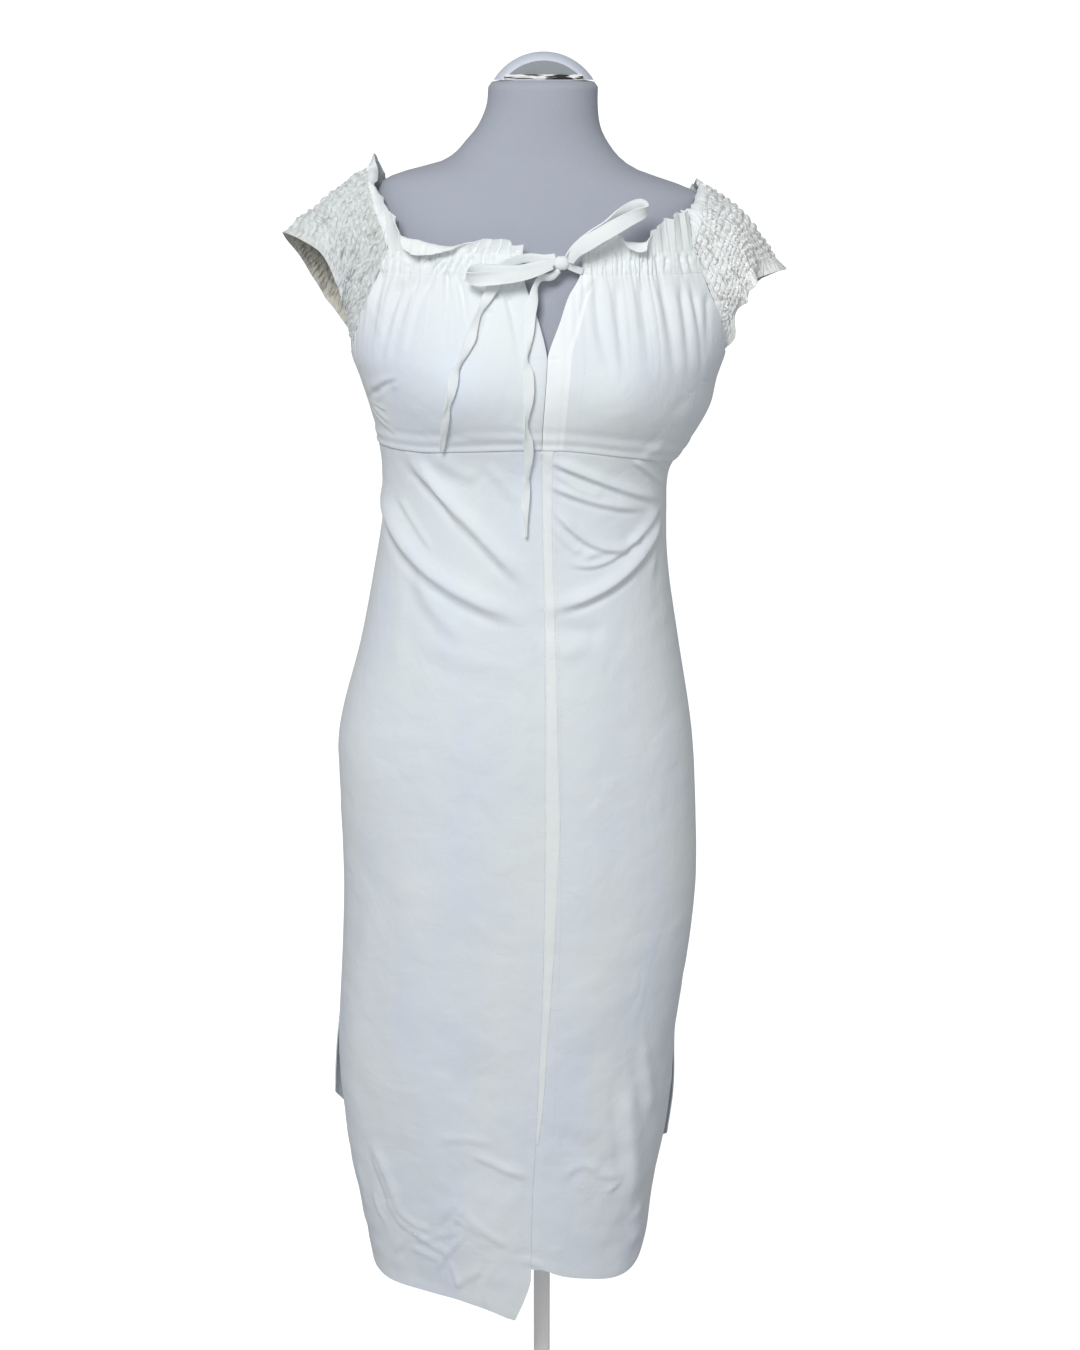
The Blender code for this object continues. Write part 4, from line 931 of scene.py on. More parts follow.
# %% Neck ruffle
RUFFLE_COLUMNS = "share middle edge out lean pleat wave"
RUFFLE_UNITS = (1, TENTH_MM, TENTH_MM, TENTH_MM, 1, TENTH_MM, TENTH_MM)
RUFFLES = {
    "left": Table(
        RUFFLE_COLUMNS,
        (0, 40, 80, 10, 0.1, 0, 3),
        (0.06, 42, 85, 12, 0.2, 5, 3),
        (0.09, 60, 125, 15, 0.35, 24, 3),
        (0.26, 65, 135, 20, 0.42, 28, 3),
        (0.3, 60, 110, 25, 0.42, 28, 4),
        (0.36, 62, 85, 45, 0.3, 10, 8),
        (0.42, 62, 40, 80, 0.1, 0, 10),
        (0.5, 62, 3, 110, 0, 0, 8),
        (0.6, 85, -18, 120, 0, 0, 10),
        (0.7, 108, -14, 125, 0, 0, 10),
        (0.78, 118, 30, 110, 0, 0, 12),
        (0.84, 130, 130, 85, 0.1, 0, 16),
        (0.9, 145, 255, 62, 0.15, 12, 16),
        (0.95, 165, 320, 50, 0.1, 12, 16),
        (1, 175, 350, 40, 0, 0, 14),
        unit=RUFFLE_UNITS,
    ),
    "right": Table(
        RUFFLE_COLUMNS,
        (0, 55, 110, 30, 0.1, 0, 4),
        (0.07, 55, 110, 35, 0, 0, 6),
        (0.11, 50, 75, 40, 0, 0, 8),
        (0.16, 85, 150, 50, -0.1, 10, 10),
        (0.21, 110, 185, 52, -0.1, 16, 12),
        (0.27, 112, 150, 70, 0, 10, 12),
        (0.33, 102, 50, 100, 0, 0, 10),
        (0.4, 96, 10, 112, 0, 0, 8),
        (0.47, 100, 40, 100, 0, 0, 10),
        (0.51, 102, 150, 65, 0, 0, 12),
        (0.56, 112, 225, 60, -0.15, 8, 14),
        (0.62, 130, 250, 42, -0.2, 22, 16),
        (0.7, 142, 285, 36, -0.2, 28, 16),
        (0.8, 156, 325, 20, -0.2, 28, 16),
        (0.9, 170, 345, -10, -0.2, 22, 16),
        (1, 178, 355, -40, -0.1, 0, 12),
        unit=RUFFLE_UNITS,
    ),
    "back": Table(
        RUFFLE_COLUMNS,
        (0, 105, 210, 10, 0, 0, 32),
        (0.15, 80, 150, 30, 0.1, 8, 34),
        (0.35, 95, 60, 80, 0, 0, 20),
        (0.5, 70, 130, 30, 0.1, 10, 34),
        (0.7, 90, 80, 70, 0, 0, 22),
        (0.85, 80, 150, 30, -0.1, 8, 34),
        (1, 105, 210, 10, 0, 0, 32),
        unit=RUFFLE_UNITS,
    ),
}
RUFFLE_THICKNESS = 0.0009
RUFFLE_WAVES = {"left": 7, "right": 6, "back": 13}
PLEATS_PER_WAVE = 2.1
RUFFLE_FOOT = 0.0012
FOOT_FADE = 0.95


def ruffle_strip(base, outward, upward, tangent, rows, share, v, waves, seed):
    """A strip on its base line: the table gives its edge and where it is half way up."""
    middle, edge = rows.at("middle", share), rows.at("edge", share)
    uneven = 1 + 0.10 * drift(share * waves * 2.3, seed)
    rise = (4 * middle * v * (1 - v) + edge * v * (2 * v - 1)) * uneven
    phase = 2 * math.pi * (share * waves + 0.45 * drift(share * waves * 0.8, seed + 1))
    wave = rows.at("wave", share)
    pleat = (share * waves * PLEATS_PER_WAVE + 0.3 * drift(share * waves, seed + 2)) % 1
    out = rows.at("out", share) * v**1.6 + wave * np.cos(phase) * v**0.75
    out = out + rows.at("pleat", share) * (pleat**1.5 - 0.4) * v**0.4
    aside = rows.at("lean", share) * rise - 0.8 * wave * np.sin(2 * phase) * v**0.9
    return base + out[:, None] * outward + rise[:, None] * upward + aside[:, None] * tangent


def neck_ruffle_place(part):
    seed = {"left": 31, "right": 37, "back": 43}[part]

    def place(u, v):
        start, end = casing_span(part, CASING_TOP)
        angle = wrapped(start + (0.003 + 0.994 * u) * (end - start))
        top = np.full_like(angle, CASING_TOP)
        foot = casing_lift(angle, top) * (1 - FOOT_FADE * smooth(2.2 * v))
        base = dress(angle, top - RUFFLE_FOOT, foot)
        step = dress(angle + 0.5, top) - dress(angle - 0.5, top)
        tangent = unit(step * (1, 1, 0))
        outward = np.cross(tangent, (0.0, 0.0, 1.0))
        upward = np.broadcast_to((0.0, 0.0, 1.0), base.shape)
        rows = RUFFLES[part]
        return ruffle_strip(base, outward, upward, tangent, rows, u, v, RUFFLE_WAVES[part], seed)

    return place


for part, columns, rows in (("left", 200, 18), ("right", 200, 18), ("back", 220, 14)):
    place = neck_ruffle_place(part)
    cloth(f"neck_ruffle_{part}", place, columns, rows, thickness=RUFFLE_THICKNESS)

# %% [markdown]
# ## Sleeves
#
# Rows of elastic pucker the whole sleeve. Each row of puckers has its own spacing. Below the
# last row the cuff is a free frill.

# %% Sleeves
ELASTIC_ROWS = 12
PUCKER_COUNT = 46
PUCKER_LIFT = 0.0032
PUCKER_LEVEL = 0.35
PUCKER_STRENGTH = (0.25, 1.1)
PUCKER_SPACING = (0.8, 0.4)
ROW_WANDER = 0.55
BROAD_LIFT = 0.0012
PUCKER_LEAN = {"left": 0.5, "right": -0.7}
CUFF_START = {"left": 0.93, "right": 0.87}
CUFF_WAVE = {"left": 0.0022, "right": 0.0060}
CUFF_WAVES = 6
CUFF_FADE = 0.04
STATION_STEP = 0.02


def sleeve_surface(side, station, down):
    table = SLEEVES[side]
    neck = np.stack([table.at(f"neck_{axis}", station) for axis in "xyz"], axis=-1)
    cuff = np.stack([table.at(f"cuff_{axis}", station) for axis in "xyz"], axis=-1)
    outward = unit(np.array((SIGN[side], 0, 0.9)))
    most, where = SLEEVE_BULGE[side]
    arch = np.sin(math.pi * np.clip(down, 0, 1) ** where)
    bulge = most * arch * np.sin(math.pi * station)
    return neck + down[..., None] * (cuff - neck) + bulge[..., None] * outward


def raglan_edge(side, column, down, lift):
    height = CASING_TOP + down * (UNDERARM - CASING_TOP)
    under = -RAGLAN_GAP if column == "front" else RAGLAN_GAP
    angle = SIGN[side] * (RAGLAN.at(column, height) + under)
    return dress(angle, height + SEAM, lift - RAGLAN_DEPTH)


def sleeve_point(side, station, down, lift):
    """A point of a sleeve's outer surface that meets both raglan seams."""
    around = (
        sleeve_surface(side, np.minimum(station + STATION_STEP, 1), down)
        - sleeve_surface(side, np.maximum(station - STATION_STEP, 0), down)
    )
    along = (
        sleeve_surface(side, station, np.minimum(down + STATION_STEP, 1))
        - sleeve_surface(side, station, np.maximum(down - STATION_STEP, 0))
    )
    normal = -SIGN[side] * unit(np.cross(around, along))
    point = sleeve_surface(side, station, down) + lift[..., None] * normal
    for end, column in ((0, "front"), (1, "back")):
        weight = smooth(1 - np.abs(station - end) / 0.25)[..., None]
        base = sleeve_surface(side, np.full_like(station, end), down)
        point = point + weight * (raglan_edge(side, column, down, lift) - base)
        point = point - weight * lift[..., None] * normal
    return point


def pucker_lift(side, station, down):
    """Puckers between the rows of elastic, and the waves of the cuff frill below them."""
    seed = 51 if side == "right" else 57
    start = CUFF_START[side]
    place = np.clip(down / start, 0, 1) * ELASTIC_ROWS
    place = place + ROW_WANDER * crumple(station * 15, down * 5, seed + 6)
    row = np.floor(place)
    inside = place - row
    between = np.sin(math.pi * inside) ** 0.6
    shift = 5 * hashed(row, seed) + 0.5 * drift(station * 9 + row * 3.7, seed + 1)
    shift = shift + PUCKER_LEAN[side] * (inside - 0.5) * (1 + 0.6 * drift(station * 6, seed + 7))
    count = station * PUCKER_COUNT * varied(PUCKER_SPACING, row, seed + 5)
    ridge, cell = ridges(count + shift, seed)
    strength = varied(PUCKER_STRENGTH, cell + 13 * row, seed + 2)
    puckers = PUCKER_LIFT * strength * (ridge * between - PUCKER_LEVEL)
    broad = BROAD_LIFT * crumple(station * 12, down * 5, seed + 3)
    frill = smooth((down - start) / CUFF_FADE)
    share = np.clip((down - start) / (1 - start), 0, 1)
    phase = 2 * math.pi * (station * CUFF_WAVES + 0.4 * drift(station * 7, seed + 4))
    wave = CUFF_WAVE[side] * share**0.8 * np.cos(phase)
    return (puckers + broad) * (1 - frill) + wave


def sleeve_place(side):
    def place(u, v):
        ends = smooth(np.minimum(u, 1 - u) / 0.03)
        return sleeve_point(side, u, v, pucker_lift(side, u, v) * (0.35 + 0.65 * ends))

    return place


for side in SIGN:
    cloth(f"sleeve_{side}", sleeve_place(side), 280, 84)

# %% Ruffles over the sleeves
SLEEVE_RUFFLES = {
    "left": Table(
        RUFFLE_COLUMNS,
        (0, 140, 280, -40, 0, 0, 14),
        (0.06, 110, 220, -70, 0, 10, 14),
        (0.12, 80, 150, -100, 0, 12, 14),
        (0.18, 68, 110, -120, 0, 10, 14),
        (0.24, 70, 100, -130, 0, 6, 12),
        (0.29, 85, 60, -115, 0, 0, 8),
        (0.33, 45, 65, -60, 0, 0, 8),
        (0.37, 75, 110, -110, 0, 4, 8),
        (0.42, 90, 135, -120, 0, 4, 8),
        (0.46, 85, 150, -70, 0, 0, 6),
        (0.5, 80, 148, -10, 0, 0, 6),
        (0.54, 76, 138, 30, 0, 0, 12),
        (0.62, 75, 138, 20, 0, 6, 24),
        (0.8, 76, 145, -10, 0, 6, 28),
        (1, 85, 170, 0, 0, 0, 26),
        unit=RUFFLE_UNITS,
    ),
    "right": Table(
        RUFFLE_COLUMNS,
        (0, 150, 300, -80, 0, 0, 14),
        (0.08, 130, 260, -115, 0, 12, 18),
        (0.15, 110, 215, -135, 0, 16, 18),
        (0.24, 90, 160, -135, 0, 16, 18),
        (0.32, 80, 125, -130, 0, 12, 16),
        (0.4, 68, 100, -110, 0, 12, 14),
        (0.47, 60, 85, -75, 0, 10, 14),
        (0.55, 60, 105, -30, 0, 6, 20),
        (0.75, 72, 140, -10, 0, 6, 28),
        (1, 85, 170, 0, 0, 0, 26),
        unit=RUFFLE_UNITS,
    ),
}
SLEEVE_RUFFLE_WAVES = 9


def sleeve_ruffle_place(side):
    seed = 61 if side == "right" else 67

    def place(u, v):
        station = 0.01 + 0.98 * u
        zero = np.zeros_like(u)
        base = sleeve_point(side, station, zero, zero)
        below = sleeve_point(side, station, zero + 0.12, zero)
        upward = unit(unit(base - below) + (0.0, 0.0, 0.9))
        tangent = unit(
            sleeve_point(side, np.minimum(station + 0.01, 1), zero, zero)
            - sleeve_point(side, np.maximum(station - 0.01, 0), zero, zero)
        )
        outward = unit(sleeve_point(side, station, zero, zero + 0.01) - base)
        pucker = pucker_lift(side, station, zero)[:, None] * outward
        base = base + pucker * (1 - v)[:, None] - 0.001 * upward
        rows = SLEEVE_RUFFLES[side]
        return ruffle_strip(
            base, outward, upward, tangent, rows, u, v, SLEEVE_RUFFLE_WAVES, seed
        )

    return place


for side in SIGN:
    place = sleeve_ruffle_place(side)
    cloth(f"sleeve_ruffle_{side}", place, 160, 16, thickness=RUFFLE_THICKNESS)

# %% [markdown]
# ## Ties
#
# Each tie is a flat ribbon on a smooth route in front of the dress, turned about its route
# where it twists. A route's rows give X, Z and the distance in front of the dress in tenths
# of a millimetre, then the turn in degrees and the share of the ribbon's width.

# %% Tie routes
KNOT = (0.018, 1.381, 0.0085)
KNOT_SIZE = (0.0073, 0.0050, 0.0068)
ROUTE_UNITS = (TENTH_MM, TENTH_MM, TENTH_MM, 1, 1)
TIE_ROUTES = {
    "tie_strand_left": (
        (-228, 13763, 30, 0, 0.6), (-76, 13771, 46, 0, 0.6), (125, 13790, 52, 0, 0.5),
    ),
    "tie_strand_right": (
        (385, 13738, 21, 0, 0.5), (310, 13756, 62, 10, 0.5), (237, 13782, 80, 20, 0.45),
    ),
    "tie_loop_right": (
        (226, 13856, 90, -40, 0.45), (303, 13968, 130, -60, 0.85), (437, 14087, 150, -68, 1),
        (579, 14177, 160, -66, 1), (685, 14255, 165, -48, 1), (791, 14313, 170, -28, 1),
        (877, 14341, 178, -25, 1), (930, 14328, 195, -50, 1), (940, 14300, 222, -90, 1),
        (903, 14264, 248, -140, 1), (823, 14231, 262, -168, 1), (719, 14177, 264, -178, 1.05),
        (583, 14096, 256, -184, 1.1), (428, 14001, 235, -186, 1.1),
        (307, 13912, 195, -180, 0.95), (262, 13805, 150, -170, 0.45),
    ),
    "tie_loop_left": (
        (117, 13820, 109, 0, 0.45), (-20, 13778, 150, 0, 0.75), (-203, 13724, 165, 8, 0.9),
        (-357, 13711, 175, 10, 1), (-492, 13725, 180, 12, 1), (-607, 13717, 188, 25, 1.05),
        (-676, 13684, 208, 60, 1.05), (-684, 13637, 234, 110, 1.05), (-615, 13598, 255, 155, 1),
        (-483, 13602, 262, 176, 0.95), (-334, 13621, 255, 180, 0.9),
        (-200, 13649, 242, 182, 0.85), (-47, 13709, 212, 182, 0.75),
        (96, 13768, 160, 180, 0.45),
    ),
    "tie_tail_left": (
        (123, 13874, 85, 0, 0.45), (27, 13853, 90, 0, 0.6), (-113, 13857, 95, 15, 0.65),
        (-243, 13834, 100, 20, 0.65), (-354, 13780, 98, 20, 0.75), (-419, 13691, 95, 10, 0.95),
        (-452, 13605, 85, 0, 1), (-514, 13478, 70, 0, 0.75), (-580, 13362, 65, 30, 0.42),
        (-632, 13227, 60, 20, 0.62), (-664, 13118, 60, 0, 0.72), (-719, 12993, 60, 20, 0.58),
        (-776, 12872, 62, 40, 0.42), (-815, 12788, 62, 0, 0.7), (-828, 12722, 60, 0, 0.78),
        (-841, 12620, 60, 15, 0.55), (-870, 12514, 62, 40, 0.38), (-897, 12406, 60, 0, 0.6),
        (-916, 12294, 60, 0, 0.58), (-930, 12178, 62, 10, 0.42), (-942, 12055, 65, 20, 0.24),
    ),
    "tie_tail_right": (
        (160, 13738, 81, 20, 0.45), (85, 13672, 85, 20, 0.6), (-10, 13658, 90, 35, 0.55),
        (-57, 13586, 88, 40, 0.5), (-85, 13459, 80, 10, 0.78), (-114, 13330, 70, 0, 0.85),
        (-128, 13178, 65, 0, 0.78), (-138, 13036, 65, 20, 0.45), (-149, 12939, 70, 45, 0.3),
        (-136, 12828, 65, 10, 0.78), (-131, 12715, 62, 0, 0.85), (-132, 12582, 62, 0, 0.72),
        (-141, 12455, 65, 25, 0.42), (-150, 12334, 70, 45, 0.3), (-130, 12195, 68, 10, 0.58),
        (-127, 12066, 68, 0, 0.68), (-129, 11937, 66, 10, 0.52), (-134, 11789, 68, 40, 0.32),
        (-148, 11671, 68, 10, 0.55), (-163, 11538, 72, 0, 0.66), (-153, 11429, 75, 20, 0.42),
        (-151, 11291, 75, 30, 0.24), (-151, 11202, 75, 30, 0.2),
    ),
}


def route_point(x, z, proud):
    """A point this far in front of the dress, or of its casing where the tie stands above it."""
    height = min(z, CASING_TOP)
    angle = angle_at(x, height)
    return dress(angle, height, proud) + (0, 0, z - height)


def distances(line):
    """How far each point of a line is along it."""
    steps = np.linalg.norm(np.diff(line, axis=0), axis=1)
    return np.concatenate([[0.0], np.cumsum(steps)])


def smooth_route(rows, spacing=0.004):
    rows = np.array(rows) / ROUTE_UNITS
    knots = np.array([(*route_point(*row[:3]), *row[3:]) for row in rows])
    keys = distances(knots[:, :3])
    curve = Table("s x y z turn width", *np.column_stack([keys, knots]))
    count = max(4, round(keys[-1] / spacing))
    stations = np.linspace(0, keys[-1], count + 1)
    line = np.column_stack([curve.at(axis, stations) for axis in "xyz"])
    return line, curve.at("turn", stations), curve.at("width", stations), stations


# %% Ties
RIBBON_HEM = 0.0003
RIBBON_CUP = 0.0010


def tie(node, seed):
    line, turns, shares, stations = smooth_route(TIE_ROUTES[node])
    along = unit(np.gradient(line, axis=0))
    sideways = unit(np.cross(along, (0.0, 1.0, 0.0)))
    facing = unit(np.cross(sideways, along))
    turn = np.radians(turns)[:, None]
    wide = np.cos(turn) * sideways + np.sin(turn) * facing
    thin = unit(np.cross(wide, along))
    width = RIBBON_WIDTH * shares * (0.97 + 0.05 * drift(stations * 60, seed))
    cup = RIBBON_CUP * drift(stations * 45, seed + 1)

    def place(u, v):
        row = np.rint(v * (len(line) - 1)).astype(int)
        side = 2 * u - 1
        hem = RIBBON_HEM * smooth((np.abs(side) - 0.72) / 0.1)
        across = (side * width[row] / 2)[:, None] * wide[row]
        return line[row] + across + (cup[row] * (1 - side**2) + hem)[:, None] * thin[row]

    return cloth(node, place, 12, len(line) - 1, RIBBON_THICKNESS, "ribbon"), line


TIES = {node: tie(node, 71 + index) for index, node in enumerate(TIE_ROUTES)}
for node, far_end in (
    ("tie_loop_left", "object"),
    ("tie_loop_right", "object"),
    ("tie_tail_left", "bare"),
    ("tie_tail_right", "bare"),
):
    piece, line = TIES[node]


# %% Knot
def ball(name, node, segments, rings, shape):
    """A round ball with its points moved by a function, that stands for a solid."""
    clean_selection()
    bpy.ops.mesh.primitive_uv_sphere_add(segments=segments, ring_count=rings, radius=1)
    piece = bpy.context.object
    piece.name = name
    vertices = piece.data.vertices
    vertices.foreach_set("co", shape(read(vertices, "co")).ravel())
    bpy.ops.object.shade_smooth()
    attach(piece, "root")
    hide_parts(node)
    return piece


def knot_points(points):
    """Flattened, with the soft creases of the ribbon wrapped round it."""
    wrap = 3.4 * (points[:, 0] + 0.55 * points[:, 2])
    creases = 1 + 0.10 * (np.abs(np.cos(wrap)) ** 0.7 - 0.6)
    return points * creases[:, None] * np.array(KNOT_SIZE) + route_point(*KNOT)


knot = ball("tie_knot_ball", "tie_knot", 64, 40, knot_points)

# %% [markdown]
# ## Dress form
#
# The torso is one smooth skin over rings, closed above and below. The neck cap is a dome
# whose front is flattened.

# %% Torso
FORM_TOP = float(FORM.keys[-1])
END_SHARE = 0.05
FORM_ROUNDNESS = 0.92
WALL = 0.002
WAIST_REACH = 0.022
OWN_FROM = 1.285
OWN_OVER = 0.06
LOW_DOME = 0.012
HIGH_DIP = 0.0035


def form_ring(angle, height):
    """The form's own shape at the chest and neck, and the dress's shape below."""
    turn = np.radians(angle)
    across, along = np.sin(turn), np.cos(turn)
    waist = bell(height - WAIST, WAIST_REACH)
    inside = WALL + FORM_EASE + waist * (WAIST_EASE - FORM_EASE)
    blend = smooth((height - OWN_FROM) / OWN_OVER)[:, None]
    depth = np.where(along > 0, FORM.at("front", height), FORM.at("back", height))
    x = FORM.at("half_width", height) * np.sign(across) * np.abs(across) ** FORM_ROUNDNESS
    y = -depth * np.sign(along) * np.abs(along) ** FORM_ROUNDNESS
    tilted = height - x * FORM.at("tilt", height)
    own = np.stack([x + FORM.at("middle", height), y, tilted], axis=-1)
    around = skin(angle + 1, height) - skin(angle - 1, height)
    inward = unit(np.cross(around, (0.0, 0.0, -1.0)))
    covered = skin(angle, height) + inside[:, None] * inward
    return covered + blend * (own - covered)


def ring_middle(height):
    return form_ring(np.array([0.0, 180.0]), np.full(2, height)).mean(axis=0)


def torso_points(points):
    """Move a round ball's points onto the form: its rings by height, closed at both ends."""
    level = 1 - np.arccos(np.clip(points[:, 2], -1, 1)) / math.pi
    angle = np.degrees(np.arctan2(points[:, 0], -points[:, 1]))
    share = np.clip((level - END_SHARE) / (1 - 2 * END_SHARE), 0, 1)
    ring = form_ring(angle, FORM_LOW + (FORM_TOP - FORM_LOW) * share)
    low_share = np.clip(level / END_SHARE, 0, 1)
    high_share = np.clip((1 - level) / END_SHARE, 0, 1)
    low_middle, high_middle = ring_middle(FORM_LOW), ring_middle(FORM_TOP)
    low = low_middle + np.sin(low_share * math.pi / 2)[:, None] * (ring - low_middle)
    low[:, 2] = FORM_LOW - LOW_DOME * np.cos(low_share * math.pi / 2)
    spread = np.minimum(high_share * 1.15, 1.0) ** 0.9
    high = high_middle + spread[:, None] * (ring - high_middle)
    high[:, 2] = NECK_TOP - HIGH_DIP * smooth((high_share - 0.7) / 0.3)
    join = smooth((level - (1 - END_SHARE)) / 0.012)[:, None]
    placed = np.where((level < END_SHARE)[:, None], low, ring)
    return np.where((level > 1 - END_SHARE)[:, None], ring + join * (high - ring), placed)


torso = ball("form_torso_smooth", "form_torso", 128, 150, torso_points)

# %% Neck cap
CAP_GAP = 0.0003
CAP_FOOT = NECK_TOP + CAP_GAP
CAP_ROUND = 0.003


def cap_points(points):
    centre = np.array((CAP_X, 0.0, NECK_TOP + CAP_HEIGHT - CAP_RADIUS))
    placed = centre + CAP_RADIUS * points
    before = placed[:, 1] - CAP_FLAT_Y
    placed[:, 1] = CAP_FLAT_Y + CAP_ROUND * np.logaddexp(0, before / CAP_ROUND) - CAP_GAP
    placed[:, 2] = np.maximum(placed[:, 2], CAP_FOOT)
    foot_radius = math.sqrt(CAP_RADIUS**2 - (CAP_FOOT - centre[2]) ** 2)
    away = placed[:, :2] - centre[:2]
    size = np.maximum(np.linalg.norm(away, axis=1), 1e-9)
    keep = np.where(placed[:, 2] <= CAP_FOOT, np.minimum(1, foot_radius / size), 1.0)
    placed[:, :2] = centre[:2] + away * keep[:, None]
    return placed


cap = ball("neck_cap_dome", "neck_cap", 96, 96, cap_points)
bpy.ops.object.shade_smooth_by_angle(angle=math.radians(50))

# %% [markdown]
# ## Stitches
#
# Fine rows of stitches run beside the seams. All stitches of a row are one piece, made from
# copies of one small rounded stitch.

# %% Stitches
STITCH = (0.0013, 0.00022, 0.00022)
STITCH_PITCH = 0.0040
SEAM_ROW = TAPE_SHARE * 1.12
PLACKET_ROW = 0.103
HEM_ROW = 0.9905


def stitches(name, place, u, v):
    """A row of stitches along a line of points that lie on a panel."""
    line = place(u, v)
    outward = unit(line * (1, 1, 0) + (0, -0.05, 0))
    keys = distances(line)
    places = np.arange(STITCH_PITCH / 2, keys[-1], STITCH_PITCH)

    def at(values, where):
        return np.column_stack([np.interp(where, keys, column) for column in values.T])

    middle = at(line, places)
    upward = unit(at(outward, places))
    forward = unit(at(line, places + 0.001) - middle + 1e-9)
    aside = unit(np.cross(upward, forward))
    clean_selection()
    bpy.ops.mesh.primitive_ico_sphere_add(subdivisions=1, radius=1)
    piece = bpy.context.object
    piece.name = name
    shape = np.array([tuple(vertex.co) for vertex in piece.data.vertices]) * STITCH
    faces = np.array([tuple(face.vertices) for face in piece.data.polygons])
    points = (
        middle[:, None, :]
        + shape[None, :, 0:1] * forward[:, None, :]
        + shape[None, :, 1:2] * aside[:, None, :]
        + shape[None, :, 2:3] * upward[:, None, :]
    )
    every = faces[None] + (np.arange(len(places)) * len(shape))[:, None, None]
    piece.data.clear_geometry()
    piece.data.from_pydata(points.reshape(-1, 3).tolist(), [], every.reshape(-1, 3).tolist())
    bpy.ops.object.shade_smooth()
    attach(piece, "root")
    print(f"{name}: {len(places)} stitches")
    return piece


seam_u = np.full(400, SEAM_ROW)
seam_v = np.linspace(0.004, 0.985, 400) * 0.85
placket_u = np.full(80, PLACKET_ROW)
placket_v = np.linspace(0.45, 0.97, 80)
hem_u = np.linspace(0.02, 0.98, 300)
hem_v = np.full(300, HEM_ROW)
STITCH_ROWS = [
    stitches("middle_seam_stitches", skirt_front_point("right"), seam_u, seam_v),
    stitches("placket_stitches", bodice_front_place("right"), placket_u, placket_v),
]
for side in SIGN:
    place = skirt_front_point(side)
    STITCH_ROWS.append(stitches(f"hem_stitches_{side}", place, hem_u, hem_v))

# %% [markdown]
# ## Materials
#
# Everything is procedural. A small class lets shader values be added and multiplied like
# numbers.


# %% Shader maths
class Value:
    """A node's output that can be used in sums and products."""

    def __init__(self, shader, output):
        self.shader = shader
        self.output = output

    def _maths(self, operation, other):
        return self.shader.add("ShaderNodeMath", {"operation": operation}, {0: self, 1: other})

    def __add__(self, other):
        return self._maths("ADD", other)

    def __sub__(self, other):
        return self._maths("SUBTRACT", other)

    def __mul__(self, other):
        return self._maths("MULTIPLY", other)


class Shader:
    """A material whose nodes are added through one method."""

    def __init__(self, name, roughness, metallic=0.0, sheen=0.0):
        self.material = bpy.data.materials.new(name)
        self.material.use_nodes = True
        tree = self.material.node_tree
        self.nodes, self.links = tree.nodes, tree.links
        self.surface = self.nodes["Principled BSDF"]
        self.join(self.surface.inputs["Roughness"], roughness)
        self.join(self.surface.inputs["Metallic"], metallic)
        self.surface.inputs["Sheen Weight"].default_value = sheen
        self.surface.inputs["Specular IOR Level"].default_value = 0.5 if metallic else 0.25
        self.place = self.add("ShaderNodeTexCoord", {}, {}, "Object")
        self.facing = self.add("ShaderNodeTexCoord", {}, {}, "Normal")
        self.flat = self.add("ShaderNodeTexCoord", {}, {}, "UV")

    def join(self, socket, value):
        if isinstance(value, Value):
            self.links.new(value.output, socket)
        else:
            socket.default_value = value

    def join_colour(self, socket, value):
        self.join(socket, value if isinstance(value, Value) else (*value, 1.0))

    def add(self, kind, settings, inputs, output=0):
        node = self.nodes.new(kind)
        for name, setting in settings.items():
            setattr(node, name, setting)
        for name, value in inputs.items():
            self.join(node.inputs[name], value)
        return Value(self, node.outputs[output])

    def noise(self, scale, detail=2.0, distortion=0.0, vector=None):
        vector = vector or self.place
        inputs = {"Vector": vector, "Scale": scale, "Detail": detail, "Distortion": distortion}
        return self.add("ShaderNodeTexNoise", {}, inputs, "Fac")

    def vector(self, operation, first, second, output=0):
        settings = {"operation": operation}
        return self.add("ShaderNodeVectorMath", settings, {0: first, 1: second}, output)

    def stretched(self, vector, factors):
        """The same coordinates with each axis multiplied, so that noise comes out in strokes."""
        return self.vector("MULTIPLY", vector, factors)

    def part(self, vector, axis):
        return self.add("ShaderNodeSeparateXYZ", {}, {0: vector}, axis)

    def clamped(self, value):
        return self.add("ShaderNodeClamp", {}, {"Value": value})

    def blend(self, amount, first, second):
        node = self.nodes.new("ShaderNodeMix")
        node.data_type = "RGBA"
        self.join(node.inputs["Factor"], amount)
        self.join_colour(node.inputs[6], first)
        self.join_colour(node.inputs[7], second)
        return Value(self, node.outputs[2])

    def colour(self, value):
        self.join_colour(self.surface.inputs["Base Color"], value)

    def bump(self, height, distance, strength=1.0):
        inputs = {"Height": height, "Distance": distance, "Strength": strength}
        self.join(self.surface.inputs["Normal"], self.add("ShaderNodeBump", {}, inputs, "Normal"))


# Each cloth has a lit and a shade tone: painted light and shade, laid on in soft random patches.
LIT_COTTON = (0.776, 0.834, 0.838)
SHADE_COTTON = (0.718, 0.778, 0.880)
# Painted shade for the inside of the sleeves and for the creases between their puckers.
PAINTED_INSIDE_SHADE = (0.70, 0.68, 0.61)
PAINTED_CREASE_SHADE = (0.44, 0.43, 0.39)
LIT_CREAM = (0.835, 0.880, 0.885)
SHADE_CREAM = (0.815, 0.868, 0.880)
CREAM_FROM = 1.30
COTTON_BUMP = (0.0018, 0.65)
